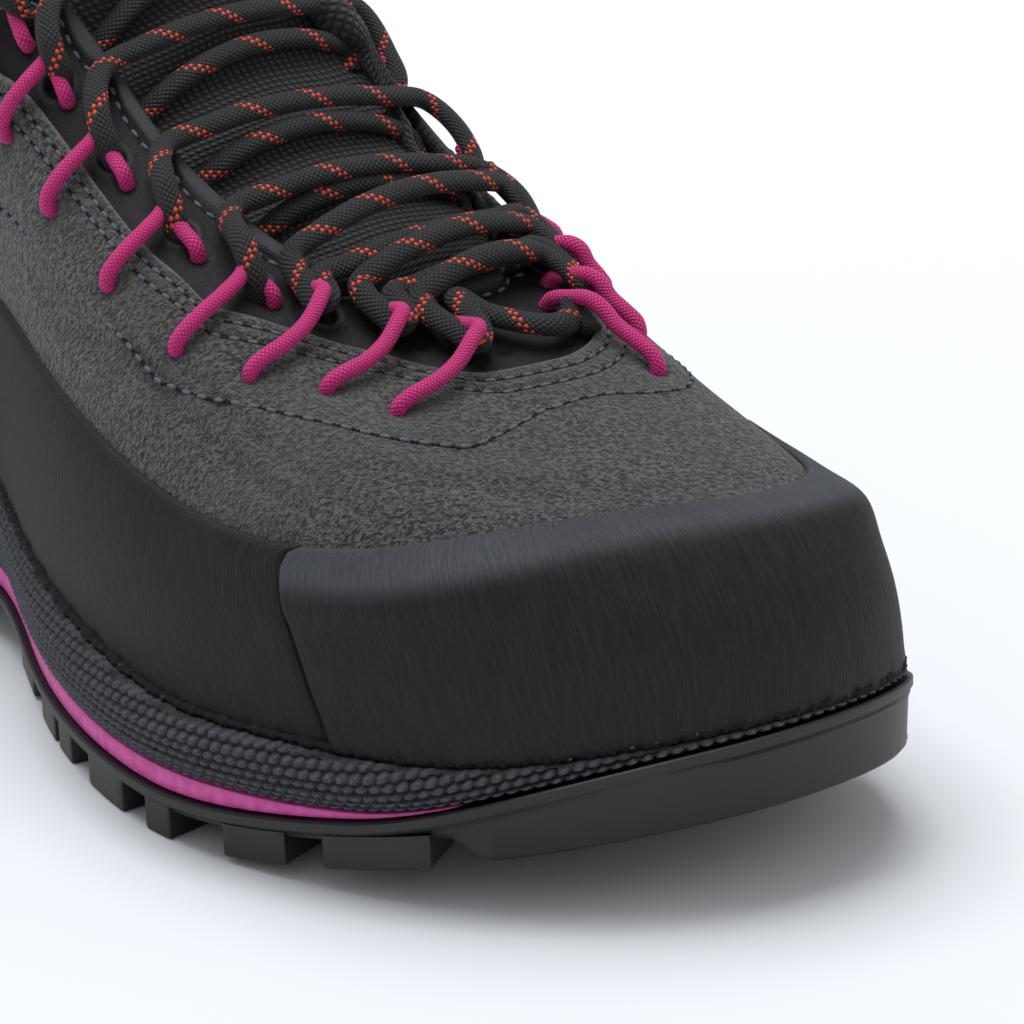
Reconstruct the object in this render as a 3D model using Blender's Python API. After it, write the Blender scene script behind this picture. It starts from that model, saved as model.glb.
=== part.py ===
"""Approach shoe for the right foot, as its maker puts it together.

Frame: +X towards the toe, +Y to the wearer's left (the inner side of the foot), +Z up, metres.
The origin is on the floor, under the middle of the shoe. The shoe is first worked out with x measured
from the back of the heel, and place() moves every piece to the origin.
"""

import math

import bmesh
import bpy
import numpy as np

# Main sizes
LENGTH = 0.268
BALL_WIDTH = 0.101
INSTEP_HEIGHT = 0.110
HEEL_HEIGHT = 0.098
SOLE_SIDE = 0.028
RAND_HEIGHT = 0.050

# Clearance between pieces that touch
GAP = 0.0003

# Upper and what is glued or sewn to it
WALL = 0.0024
FEATHER_INSET = 0.0056
WALL_LEAN = 0.010
RAND_THICKNESS = 0.0018
CAP_THICKNESS = 0.0028
CAP_RIDGE = 0.0010
CAP_RIDGE_PLACE = 0.72
CAP_RIDGE_SPREAD = 0.16
RAND_THINNING = 0.45
SEAM_TRIM = 0.03
FACING_THICKNESS = 0.0015
FACING_WIDTH = 0.018
FACING_CLEAR = 0.009
RIM_WIDTH = 0.003
RIM_RAISE = 0.0009
RIM_SLOPE = 0.00075
CUFF_THICKNESS = 0.006
CUFF_CLEAR = 0.0005
CUFF_DEPTH = 0.024
CUFF_RISE = 0.003
TONGUE_THICKNESS = 0.005
TONGUE_EDGE = 0.003
TONGUE_LAP = 0.007
TONGUE_DEPTH = 0.0008
TONGUE_TIPS = ((1.3, 1.4, 1.45, 1.45, 1.45, 1.4, 1.3), (0.9, 0.5, 0.2, 0.2, 0.2, 0.5, 0.9))
TONGUE_RISE = 0.026
TONGUE_LEANS = (28, 44, 58, 62)
TONGUE_TOP_PARTS = (0.30, 0.35, 0.25, 0.10)
TONGUE_TOP_WIDTHS = (1.0, 1.0, 0.94, 0.72)
TONGUE_TOP_WIDTH = 0.036
TONGUE_TOP_CURL = 0.45
TONGUE_CROWN = 0.09
PULL_WIDTH = 0.013
PULL_THICKNESS = 0.0014
PULL_RISE = 0.010
PULL_HEIGHT = HEEL_HEIGHT + PULL_RISE
PULL_DEPTH = 0.028
PULL_SEWN = 0.012

# Sole
TOE_SPRING = 0.0155
SPRING_START = 0.70
SPRING_POWER = 1.7
HEEL_BEVEL = 0.003
HEEL_FLAT = 0.06
ARCH_RISE = 0.003
ARCH_START = 0.32
ARCH_END = 0.52
OUTSOLE_SIDE = 0.0078
OUTSOLE_TOE_SIDE = 0.0115
OUTSOLE_TOE_START = 0.84
OUTSOLE_TOE_END = 0.985
LUG_DEPTH = 0.0042
LUG_LENGTH_IN = 0.013
LUG_ROOT = 0.0012
LUG_SIZE = 0.015
LUG_TAPER = 0.8
LUG_INSET = 0.00078
LUG_CORNER = 0.6
CLIMBING_EDGE = 0.885
CLIMBING_EDGE_END = 0.905
LIP_HEIGHT = 0.0019
LIP_STEP = 0.0013
LIP_SLOPE = 0.00057
SIDE_DRAFT = 0.00065
LINE_THICKNESS = 0.003
LINE_THINS = 0.70
LINE_END = 0.90
LINE_LAST = 8
LINE_INSET = 0.0012
BAND_BULGE = 0.0022
BAND_TOE_START = 0.86
BAND_TOE_END = 0.98
BAND_TOE_INSET = 0.0045
FOOTBED_DEPTH = 0.005
FOOTBED_TOE_DEPTH = 0.0005
FOOTBED_TOE_START = 0.72
FOOTBED_TOE_END = 0.92
FOOTBED_INSET = 0.0105
FOOTBED_DRAFT = 0.001
INSOLE_THICKNESS = 0.004
INSOLE_CLEAR = 0.0005

# Cords
LACE_DIAMETER = 0.0047
LACE_CLEAR = 0.0014
LACE_OVER = 0.0032
LACE_END = 0.95
LACE_TURN = 0.0029
LACE_ARCH = 0.0026
LOOP_DIAMETER = 0.0025
LOOP_HEIGHT = 0.0042
LOOP_POINTS = 6
STRAND_POINTS = 6
STRAND_FULLNESS = 0.55
TURN_STATIONS = 0.3

# Ribs per gap between two rows of the table, and faces along a rib
RIBS_PER_ROW = 3
RAND_STEPS = 4
SUEDE_STEPS = 5
# Edges sharper than this, in degrees, are drawn as creases
SHARP_ANGLE = 35

# A row for each rib of the last, from the back of the heel round the outer side, the toe and the inner side.
# along, across: the sole's outline, as shares of LENGTH and BALL_WIDTH.
# sole, inset: the upper's foot above the tread line and inside the outline, of SOLE_SIDE and FEATHER_INSET.
# lean, rise: the rib's first handle, inwards and upwards, of WALL_LEAN and the rib's height.
# fold, shoulder: its middle handle, inwards and upwards, of the rib's run and height.
# reach, crest: its last handle, back and down from the rim, of the rib's run and height.
# rim_along, rim_across: the rim of the collar and throat, of LENGTH and BALL_WIDTH.
# heel, instep: the rim's height, as a share of HEEL_HEIGHT plus a share of INSTEP_HEIGHT.
# rand: the top of the rubber rand above the floor, of RAND_HEIGHT. facing: its width, of FACING_WIDTH.
COLUMNS = (
    "along", "across", "sole", "inset", "lean", "rise", "fold", "shoulder", "reach", "crest",
    "rim_along", "rim_across", "heel", "instep", "rand", "facing",
)
SECTIONS = (
    (0.000, 0.030, 0.96, 0.80, -0.50, 0.30, -0.20, 0.52, 0.60, 0.28, 0.052, 0.030, 1.00, 0.00, 1.16, 0.5),
    (0.037, -0.188, 0.96, 0.80, -0.40, 0.30, -0.10, 0.52, 0.60, 0.28, 0.071, -0.129, 0.95, 0.00, 1.12, 0.5),
    (0.134, -0.300, 0.96, 0.70, -0.30, 0.30, 0.10, 0.52, 0.55, 0.28, 0.149, -0.238, 0.82, 0.00, 1.06, 0.5),
    (0.276, -0.300, 1.00, 0.40, -0.20, 0.32, 0.25, 0.55, 0.45, 0.28, 0.254, -0.267, 0.40, 0.37, 1.10, 0.6),
    (0.418, -0.310, 1.08, 0.30, -0.10, 0.36, 0.30, 0.60, 0.40, 0.24, 0.358, -0.190, 0.00, 1.00, 1.24, 1.05),
    (0.545, -0.428, 0.97, 0.60, 0.00, 0.40, 0.30, 0.62, 0.42, 0.20, 0.425, -0.094, 0.00, 0.93, 1.16, 1.22),
    (0.683, -0.500, 0.79, 0.95, 0.10, 0.42, 0.26, 0.62, 0.42, 0.17, 0.500, -0.079, 0.00, 0.795, 1.02, 1.12),
    (0.795, -0.446, 0.68, 1.00, 0.20, 0.50, 0.18, 0.62, 0.43, 0.19, 0.560, -0.059, 0.00, 0.718, 0.96, 1.15),
    (0.896, -0.317, 0.52, 1.00, 0.15, 0.56, 0.15, 0.64, 0.45, 0.30, 0.604, -0.030, 0.00, 0.673, 1.01, 1.30),
    (0.970, -0.104, 0.45, 1.00, 0.10, 0.60, 0.15, 0.65, 0.46, 0.37, 0.636, 0.040, 0.00, 0.641, 1.05, 1.45),
    (1.000, 0.139, 0.44, 0.80, 0.10, 0.60, 0.15, 0.65, 0.46, 0.37, 0.652, 0.149, 0.00, 0.630, 1.05, 1.45),
    (0.966, 0.371, 0.45, 0.75, 0.10, 0.60, 0.14, 0.65, 0.46, 0.35, 0.650, 0.240, 0.00, 0.632, 1.02, 1.30),
    (0.866, 0.465, 0.52, 1.00, 0.10, 0.54, 0.15, 0.66, 0.48, 0.27, 0.622, 0.305, 0.00, 0.648, 1.00, 1.10),
    (0.739, 0.500, 0.70, 0.95, 0.00, 0.46, 0.22, 0.64, 0.46, 0.26, 0.560, 0.335, 0.00, 0.715, 1.02, 0.95),
    (0.597, 0.426, 0.90, 0.60, -0.10, 0.40, 0.28, 0.62, 0.42, 0.25, 0.470, 0.330, 0.00, 0.860, 1.10, 0.85),
    (0.455, 0.322, 1.02, 0.30, -0.20, 0.36, 0.30, 0.60, 0.40, 0.27, 0.372, 0.310, 0.00, 0.985, 1.18, 0.80),
    (0.299, 0.297, 1.00, 0.40, -0.20, 0.32, 0.25, 0.55, 0.45, 0.28, 0.246, 0.307, 0.40, 0.36, 1.10, 0.6),
    (0.142, 0.347, 0.96, 0.70, -0.30, 0.30, 0.10, 0.52, 0.55, 0.28, 0.149, 0.277, 0.83, 0.00, 1.06, 0.5),
    (0.037, 0.248, 0.96, 0.80, -0.40, 0.30, -0.10, 0.52, 0.60, 0.28, 0.071, 0.178, 0.95, 0.00, 1.12, 0.5),
)
ROWS = len(SECTIONS)
COLUMN = {name: place for place, name in enumerate(COLUMNS)}

# Stations, in rows of the table, where pieces end
CAP_START, CAP_END = 7.0 + 1 / 3, 12.0
HEEL_RAND_END = 2.0
THROAT_START, THROAT_END = 4.0 + 1 / 3, 15.0
TONGUE_TOE = 9.0
THROAT_BLEND = 0.5
TOE_TIP = 10

# Lugs at the edge of the tread, outer side, as pairs of stations. The inner side mirrors them.
EDGE_LUGS = (
    (0.25, 0.65), (0.85, 1.25), (1.45, 1.80), (2.00, 2.35), (2.55, 2.90), (3.10, 3.45),
    (4.35, 4.62), (4.82, 5.08), (5.14, 5.32), (5.52, 5.86), (6.05, 6.25), (6.63, 7.04), (7.26, 7.87),
)
# Lugs inside the tread: along (of LENGTH), across (of BALL_WIDTH), length and width (of LUG_SIZE), turn in degrees.
INNER_LUGS = (
    (0.10, 0.03, 0.87, 1.07, 0), (0.19, -0.07, 1.00, 0.80, 12), (0.19, 0.14, 1.00, 0.80, -12),
    (0.28, 0.03, 0.93, 1.07, 0), (0.56, -0.07, 0.87, 0.93, 18), (0.57, 0.12, 0.87, 0.93, -18),
    (0.64, 0.01, 0.87, 1.07, 0), (0.66, -0.22, 0.80, 0.80, 18), (0.66, 0.26, 0.80, 0.80, -18),
    (0.72, -0.10, 0.87, 0.93, 18), (0.72, 0.15, 0.87, 0.93, -18), (0.79, 0.03, 0.87, 1.07, 0),
    (0.79, -0.20, 0.80, 0.80, 18), (0.79, 0.27, 0.80, 0.80, -18),
)

# The side of the midsole, from its foot to its top: height (of the band), bulge (of BAND_BULGE).
BAND_PROFILE = ((0.0, 0.0), (0.3, 0.8), (0.7, 1.0), (1.0, 0.3))
# The inner side of the collar's cuff, from its foot to the rim: height (of CUFF_DEPTH), fullness (of CUFF_THICKNESS).
CUFF_PROFILE = ((0.0, 0.35), (0.35, 0.9), (0.7, 1.0), (1.0, 0.75))
# The cuff's crown: depth (of WALL or CUFF_THICKNESS), rise (of CUFF_RISE), for its outer edge and its middle.
CUFF_CROWN = ((0.6, 0.5), (0.4, 1.0))
# The free arc of the heel pull: back to rim (of the way between them), rise (of PULL_RISE), from the sewn end round.
PULL_ARC = ((-0.07, -1.0), (-0.03, 0.1), (0.18, 0.8), (0.75, 1.0), (1.04, 0.75), (1.14, 0.45))
# A cord loop's rise from the suede's hole to its apex, then down its leg: way along, rise (of LOOP_HEIGHT).
LOOP_UP = ((0.0, 0.0), (1 / 3, 0.5), (2 / 3, 0.85), (1.0, 0.8))
LOOP_DOWN = ((0.5, 0.4), (1.0, 0.0))

# The cord loops that the lace runs through, a row for each, counted from the toe.
# hole, apex, leg: stations of the hole in the suede, the top of the loop and the hole in the facing.
# The other three columns are their shares of the rib.
LOOP_COLUMNS = ("hole", "hole_share", "apex", "apex_share", "leg", "leg_share")
OUTER_LOOPS = (
    (8.32, 0.74, 9.30, 0.87, 9.75, 0.88), (7.70, 0.73, 8.75, 0.89, 9.10, 0.89),
    (6.95, 0.66, 7.95, 0.89, 8.25, 0.90), (6.26, 0.61, 7.03, 0.86, 7.40, 0.87),
    (5.59, 0.60, 6.13, 0.85, 6.51, 0.84), (4.95, 0.59, 5.39, 0.84, 5.69, 0.83),
    (4.42, 0.62, 4.84, 0.86, 5.02, 0.83), (3.95, 0.80, 4.45, 0.90, 4.59, 0.84),
)
INNER_LOOPS = (
    (11.25, 0.74, 11.10, 0.86, 10.90, 0.88), (11.90, 0.74, 11.70, 0.86, 11.50, 0.88),
    (12.55, 0.72, 12.25, 0.86, 12.05, 0.87), (13.15, 0.69, 12.80, 0.87, 12.62, 0.86),
    (13.76, 0.67, 13.44, 0.87, 13.25, 0.85), (14.36, 0.67, 14.08, 0.87, 13.90, 0.84),
    (14.87, 0.68, 14.66, 0.88, 14.48, 0.85), (15.20, 0.78, 14.95, 0.90, 14.80, 0.86),
)


def spline_slopes(values):
    """Second derivatives of the closed smooth curve through the rows."""
    count = len(values)
    matrix = np.zeros((count, count))
    for row in range(count):
        matrix[row, row] = 4
        matrix[row, (row + 1) % count] += 1
        matrix[row, (row - 1) % count] += 1
    return np.linalg.solve(matrix, 6 * (np.roll(values, -1, 0) - 2 * values + np.roll(values, 1, 0)))


TABLE = np.array(SECTIONS)
SLOPES = spline_slopes(TABLE)


def section(station):
    """The table's values at any station between its rows."""
    station = np.asarray(station, float) % ROWS
    first = np.floor(station).astype(int) % ROWS
    second = (first + 1) % ROWS
    part = (station - np.floor(station))[..., None]
    rest = 1 - part
    bend = (rest**3 - rest) * SLOPES[first] + (part**3 - part) * SLOPES[second]
    return rest * TABLE[first] + part * TABLE[second] + bend / 6


def value(row, name):
    return row[..., COLUMN[name]]


def smooth_step(share):
    share = np.clip(share, 0, 1)
    return share * share * (3 - 2 * share)


def sole_line(x):
    """The sole's own bend: flat under heel and forefoot, raised at the arch and toe."""
    share = np.asarray(x, float) / LENGTH
    toe = TOE_SPRING * np.clip((share - SPRING_START) / (1 - SPRING_START), 0, None) ** SPRING_POWER
    arch = np.clip((share - ARCH_START) / (ARCH_END - ARCH_START), 0, 1)
    return toe + ARCH_RISE * np.sin(math.pi * arch) ** 2


def tread_line(x):
    """Height of the ground side of the tread, with the heel's bevelled back edge."""
    share = np.asarray(x, float) / LENGTH
    return sole_line(x) + HEEL_BEVEL * np.clip((HEEL_FLAT - share) / HEEL_FLAT, 0, None) ** 2


def outsole_top(x):
    """Height of the top of the outsole, which is thicker round the toe."""
    share = (np.asarray(x, float) / LENGTH - OUTSOLE_TOE_START) / (OUTSOLE_TOE_END - OUTSOLE_TOE_START)
    return sole_line(x) + OUTSOLE_SIDE + (OUTSOLE_TOE_SIDE - OUTSOLE_SIDE) * smooth_step(share)


def line_thickness(x):
    """Thickness of the coloured line of the midsole, which thins out towards the toe."""
    share = np.asarray(x, float) / LENGTH
    return LINE_THICKNESS * (1 - smooth_step((share - LINE_THINS) / (LINE_END - LINE_THINS))) + GAP


def outline(station, inset=0.0):
    """Plan of the sole's edge, drawn in by inset."""
    step = 1e-3
    ahead, behind = section(np.asarray(station) + step), section(np.asarray(station) - step)
    here = section(station)
    along = (value(ahead, "along") - value(behind, "along")) * LENGTH
    across = (value(ahead, "across") - value(behind, "across")) * BALL_WIDTH
    size = np.hypot(along, across)
    x = value(here, "along") * LENGTH - across / size * inset
    y = value(here, "across") * BALL_WIDTH + along / size * inset
    return x, y


def deck(station):
    """Height of the top of the midsole at each station, level from its edge inwards."""
    return sole_line(outline(station)[0]) + value(section(station), "sole") * SOLE_SIDE


def rib(station):
    """The five points of each rib's curve: foot, three handles and rim."""
    row = section(station)
    x, y = outline(station, value(row, "inset") * FEATHER_INSET)
    foot = np.stack([x, y, deck(station) + GAP], -1)
    height = value(row, "heel") * HEEL_HEIGHT + value(row, "instep") * INSTEP_HEIGHT
    rim = np.stack([value(row, "rim_along") * LENGTH, value(row, "rim_across") * BALL_WIDTH, height], -1)
    run = (rim - foot) * np.array([1, 1, 0])
    inwards = run / np.linalg.norm(run, axis=-1, keepdims=True)
    up = (rim - foot) * np.array([0, 0, 1])
    names = ("lean", "rise", "fold", "shoulder", "reach", "crest")
    lean, rise, fold, shoulder, reach, crest = (value(row, name)[..., None] for name in names)
    first = foot + inwards * lean * WALL_LEAN + up * rise
    middle = foot + run * fold + up * shoulder
    last = rim - run * reach - up * crest
    return foot, first, middle, last, rim


def on_rib(station, share):
    """Points of the last's surface: share runs from the foot of the rib to its rim."""
    foot, first, middle, last, rim = rib(station)
    share = np.asarray(share, float)[..., None]
    rest = 1 - share
    wall = rest**4 * foot + 4 * rest**3 * share * first + 6 * rest**2 * share**2 * middle
    return wall + 4 * rest * share**3 * last + share**4 * rim


def skin(station, share, out=0.0):
    """Points that stand out from the last's surface by out."""
    step = 1e-3
    station, share = np.broadcast_arrays(np.asarray(station, float), np.asarray(share, float))
    round_way = on_rib(station + step, share) - on_rib(station - step, share)
    up_way = on_rib(station, share + step) - on_rib(station, share - step)
    normal = np.cross(round_way, up_way)
    normal /= np.linalg.norm(normal, axis=-1, keepdims=True)
    return on_rib(station, share) + normal * np.asarray(out, float)[..., None]


def share_at_height(station, height):
    """Where each rib passes a height."""
    low, high = np.zeros(np.shape(station)), np.ones(np.shape(station))
    for _ in range(30):
        middle = (low + high) / 2
        below = on_rib(station, middle)[..., 2] < height
        low, high = np.where(below, middle, low), np.where(below, high, middle)
    return (low + high) / 2


def share_from_rim(station, distance):
    """Where each rib is this far from its rim, measured along the rib."""
    shares = np.linspace(1, 0, 101)
    found = []
    for one in np.atleast_1d(station):
        points = on_rib(np.full(shares.shape, one), shares)
        found.append(np.concatenate([[0], np.cumsum(np.linalg.norm(np.diff(points, axis=0), axis=1))]))
    wanted = np.broadcast_to(distance, np.shape(station)).ravel()
    return np.array([np.interp(d, f, shares) for d, f in zip(wanted, found)]).reshape(np.shape(station))


def throat_part(station):
    """1 along the throat, 0 along the collar, with a short change between them."""
    start = smooth_step((np.asarray(station, float) - (THROAT_START - THROAT_BLEND)) / THROAT_BLEND)
    end = smooth_step(((THROAT_END + THROAT_BLEND) - np.asarray(station, float)) / THROAT_BLEND)
    return np.minimum(start, end)


def suede_share(station):
    """Where the suede ends on each rib: at the facing along the throat, at the rim along the collar."""
    width = value(section(station), "facing") * FACING_WIDTH
    return share_from_rim(station, width) * throat_part(station) + 1 - throat_part(station)


def rand_share(station):
    return share_at_height(station, value(section(station), "rand") * RAND_HEIGHT)


def stations(start, end):
    """Stations from start to end on the upper's own ribs."""
    count = round((end - start) * RIBS_PER_ROW)
    return np.linspace(start, end, count + 1)


ALL_STATIONS = np.arange(ROWS * RIBS_PER_ROW) / RIBS_PER_ROW


def steps(low, high, count):
    """A grid of shares from low to high, one row for each station."""
    part = np.linspace(0, 1, count + 1)
    return low[:, None] * (1 - part) + high[:, None] * part


def suede_grid(station):
    """The shares of the upper's faces: up to the top of the rand, then up to the edge of the suede."""
    rand, suede = rand_share(station), suede_share(station)
    lower = steps(np.zeros(rand.shape), rand, RAND_STEPS)
    return np.concatenate([lower, steps(rand, suede, SUEDE_STEPS)[:, 1:]], axis=1)


MIDDLE = np.array([(LENGTH + LINE_INSET - BAND_BULGE) / 2, 0.0, 0.0])


def place(points):
    """Moves points from the heel's frame to the shoe's origin."""
    return np.asarray(points, float) - MIDDLE


def centre_line():
    """How far the middle of the shoe's width lies from the last's own line."""
    fine = np.linspace(0, ROWS, 400)
    across = outline(fine)[1]
    return (across.min() + across.max()) / 2


MIDDLE[1] = centre_line()


def material(name, colour, roughness):
    made = bpy.data.materials.new(name)
    made.use_nodes = True
    shader = made.node_tree.nodes["Principled BSDF"]
    shader.inputs["Base Color"].default_value = (*colour, 1)
    shader.inputs["Roughness"].default_value = roughness
    shader.inputs["Metallic"].default_value = 0
    made.diffuse_color = (*colour, 1)
    return made


def finish(name, mesh, finish_material):
    """Turns a mesh into one named object of the shoe."""
    faces_out(mesh)
    data = bpy.data.meshes.new(name)
    mesh.to_mesh(data)
    mesh.free()
    data.materials.append(finish_material)
    data.shade_smooth()
    data.set_sharp_from_angle(angle=math.radians(SHARP_ANGLE))
    made = bpy.data.objects.new(name, data)
    bpy.data.collections["approach_shoe"].objects.link(made)
    return made


def faces_out(mesh):
    """Turns all faces outwards, also round a hollow."""
    bmesh.ops.recalc_face_normals(mesh, faces=mesh.faces)
    if mesh.calc_volume(signed=True) < 0:
        bmesh.ops.reverse_faces(mesh, faces=mesh.faces)


def slab(name, outer, inner, finish_material, closed=False):
    """A wall between two grids of points, with all its edges closed."""
    mesh = bmesh.new()
    long, wide = outer.shape[:2]
    tops = [[mesh.verts.new(point) for point in line] for line in place(outer)]
    unders = [[mesh.verts.new(point) for point in line] for line in place(inner)]
    for i in range(long if closed else long - 1):
        j = (i + 1) % long
        for k in range(wide - 1):
            mesh.faces.new((tops[i][k], tops[j][k], tops[j][k + 1], tops[i][k + 1]))
            mesh.faces.new((unders[i][k], unders[i][k + 1], unders[j][k + 1], unders[j][k]))
        mesh.faces.new((tops[i][0], unders[i][0], unders[j][0], tops[j][0]))
        mesh.faces.new((tops[i][-1], tops[j][-1], unders[j][-1], unders[i][-1]))
    if not closed:
        for k in range(wide - 1):
            mesh.faces.new((tops[0][k], tops[0][k + 1], unders[0][k + 1], unders[0][k]))
            mesh.faces.new((tops[-1][k], unders[-1][k], unders[-1][k + 1], tops[-1][k + 1]))
    return finish(name, mesh, finish_material)


def ladder(mesh, ring):
    """Closes a ring with strips from its outer side to its inner side, from the heel to the toe."""
    count = len(ring)
    for i in range(count // 2 + 1):
        corners = []
        for k in (i, i + 1, count - i - 1, count - i):
            vert = ring[k % count]
            if vert not in corners:
                corners.append(vert)
        if i + 1 <= count - i - 1 and len(corners) > 2:
            mesh.faces.new(corners)


def stack(rings):
    """A closed mesh through rings of points, one above another, the first and last closed by ladders."""
    mesh = bmesh.new()
    levels = [[mesh.verts.new(point) for point in place(ring)] for ring in rings]
    count = len(levels[0])
    for low, high in zip(levels, levels[1:]):
        for i in range(count):
            j = (i + 1) % count
            mesh.faces.new((low[i], low[j], high[j], high[i]))
    ladder(mesh, levels[0])
    ladder(mesh, levels[-1])
    return mesh


def ring(station, inset, height):
    """A ring round the shoe: height is a function of the place along it."""
    x, y = outline(station, inset)
    return np.stack([x, y, height(x, station)], -1)


def block(corners, low, high):
    """A lug: a plan outline between two heights, which are functions of the place along the shoe."""
    mesh = bmesh.new()
    corners = np.asarray(corners)
    floor = [mesh.verts.new(point) for point in place(np.c_[corners, low(corners[:, 0])])]
    roof = [mesh.verts.new(point) for point in place(np.c_[corners, high(corners[:, 0])])]
    count = len(floor)
    mesh.faces.new(floor)
    mesh.faces.new(roof[::-1])
    for i in range(count):
        j = (i + 1) % count
        mesh.faces.new((floor[i], roof[i], roof[j], floor[j]))
    return mesh


def as_object(name, mesh, collection="cutters"):
    """A helper object for a Boolean, which the finished shoe doesn't show."""
    faces_out(mesh)
    data = bpy.data.meshes.new(name)
    mesh.to_mesh(data)
    mesh.free()
    made = bpy.data.objects.new(name, data)
    bpy.data.collections[collection].objects.link(made)
    made.hide_render = True
    made.display_type = "WIRE"
    return made


def join(body, helper, operation):
    """A Boolean between a piece and a helper, applied to the piece's mesh."""
    modifier = body.modifiers.new(operation.lower(), "BOOLEAN")
    modifier.operation = operation
    modifier.object = helper
    graph = bpy.context.evaluated_depsgraph_get()
    data = bpy.data.meshes.new_from_object(body.evaluated_get(graph))
    body.modifiers.remove(modifier)
    body.data = data


def base_bottom(x, _=None):
    """The underside of the outsole between its lugs. Round the toe it is smooth and full."""
    share = np.asarray(x, float) / LENGTH
    full = smooth_step((share - CLIMBING_EDGE) / (CLIMBING_EDGE_END - CLIMBING_EDGE))
    return tread_line(x) + LUG_DEPTH * (1 - full)


def make_outsole(rubber):
    side = (
        (LIP_STEP + SIDE_DRAFT, base_bottom),
        (LIP_STEP, lambda x, _: outsole_top(x) - LIP_HEIGHT - LIP_SLOPE),
        (0.0, lambda x, _: outsole_top(x) - LIP_HEIGHT),
        (0.0, lambda x, _: outsole_top(x)),
    )
    mesh = stack([ring(ALL_STATIONS, inset, height) for inset, height in side])
    outsole = finish("outsole", mesh, rubber)
    for number, corners in enumerate(lug_plans()):
        lug = as_object(f"lug_{number}", block(corners, tread_line, lambda x: base_bottom(x) + LUG_ROOT))
        join(outsole, lug, "UNION")
    outsole.data.shade_smooth()
    outsole.data.set_sharp_from_angle(angle=math.radians(SHARP_ANGLE))


def lug_plans():
    """The plan outline of every lug."""
    plans = []
    for start, end in EDGE_LUGS:
        for first, last in ((start, end), (ROWS - end, ROWS - start)):
            edge = np.linspace(first, last, 3)
            outer = np.stack(outline(edge, LUG_INSET), -1)
            inner = np.stack(outline(edge[[0, 2]], LUG_LENGTH_IN), -1)
            middle = inner.mean(axis=0)
            inner = middle + (inner - middle) * LUG_TAPER
            plans.append(np.concatenate([outer, inner[::-1]]))
    for along, across, length, width, turn in INNER_LUGS:
        angle = math.radians(turn)
        corners = []
        cut = LUG_CORNER
        for a, b in ((-1, -cut), (-cut, -1), (cut, -1), (1, -cut), (1, cut), (cut, 1), (-cut, 1), (-1, cut)):
            dx, dy = a * length * LUG_SIZE / 2, b * width * LUG_SIZE / 2
            x = along * LENGTH + dx * math.cos(angle) - dy * math.sin(angle)
            y = across * BALL_WIDTH + dx * math.sin(angle) + dy * math.cos(angle)
            corners.append((x, y))
        plans.append(np.array(corners))
    return plans


def line_top(x, _=None):
    return outsole_top(x) + GAP + line_thickness(x)


def make_line(foam):
    """The thin coloured layer between outsole and midsole, as far as it shows."""
    kept = ALL_STATIONS[(ALL_STATIONS <= LINE_LAST) | (ALL_STATIONS >= ROWS - LINE_LAST)]
    mesh = stack([
        ring(kept, LINE_INSET, lambda x, _: outsole_top(x) + GAP),
        ring(kept, LINE_INSET, line_top),
    ])
    finish("midsole_line", mesh, foam)


def band_share(part):
    """A height between the underside and the top of the midsole's side."""
    def height(x, station):
        low = line_top(x) + GAP
        return low + part * (deck(station) - low)
    return height


def footbed(x, station):
    """The hollow of the midsole, which the insole lies in. It comes level with the edge at the toe."""
    share = (np.asarray(x, float) / LENGTH - FOOTBED_TOE_START) / (FOOTBED_TOE_END - FOOTBED_TOE_START)
    return deck(station) - FOOTBED_DEPTH - (FOOTBED_TOE_DEPTH - FOOTBED_DEPTH) * smooth_step(share)


def band_inset(station, bulge):
    """The side of the midsole stands out under the ball and the arch, and draws in round the toe."""
    along = value(section(station), "along")
    toe = smooth_step((along - BAND_TOE_START) / (BAND_TOE_END - BAND_TOE_START))
    return (LINE_INSET - bulge) * (1 - toe) + BAND_TOE_INSET * toe


def make_midsole(foam):
    station = ALL_STATIONS
    side = [(band_inset(station, BAND_BULGE * bulge), band_share(part)) for part, bulge in BAND_PROFILE]
    side += [(FOOTBED_INSET - FOOTBED_DRAFT, band_share(1.0)), (FOOTBED_INSET, footbed)]
    finish("midsole", stack([ring(station, inset, height) for inset, height in side]), foam)


def make_insole(fabric):
    def bottom(x, station):
        return footbed(x, station) + GAP

    def top(x, station):
        return footbed(x, station) + GAP + INSOLE_THICKNESS

    inset = FOOTBED_INSET + GAP + INSOLE_CLEAR
    finish("insole", stack([ring(ALL_STATIONS, inset, height) for height in (bottom, top)]), fabric)


def make_upper(suede):
    shares = suede_grid(ALL_STATIONS)
    station = np.repeat(ALL_STATIONS[:, None], shares.shape[1], axis=1)
    outer, inner = skin(station, shares), skin(station, shares, -WALL)
    slab("upper", outer, level_foot(inner, outer), suede, closed=True)


def level_foot(grid, foot):
    """Sets the lowest line of a grid to the height of the upper's foot, where the sole closes it."""
    grid = grid.copy()
    grid[:, 0, 2] = foot[:, 0, 2]
    return grid


def trimmed(grid):
    """Draws a grid's ends in a little, clear of the pieces that come next."""
    grid = grid.copy()
    grid[0] += (grid[1] - grid[0]) * SEAM_TRIM
    grid[-1] += (grid[-2] - grid[-1]) * SEAM_TRIM
    return grid


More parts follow.
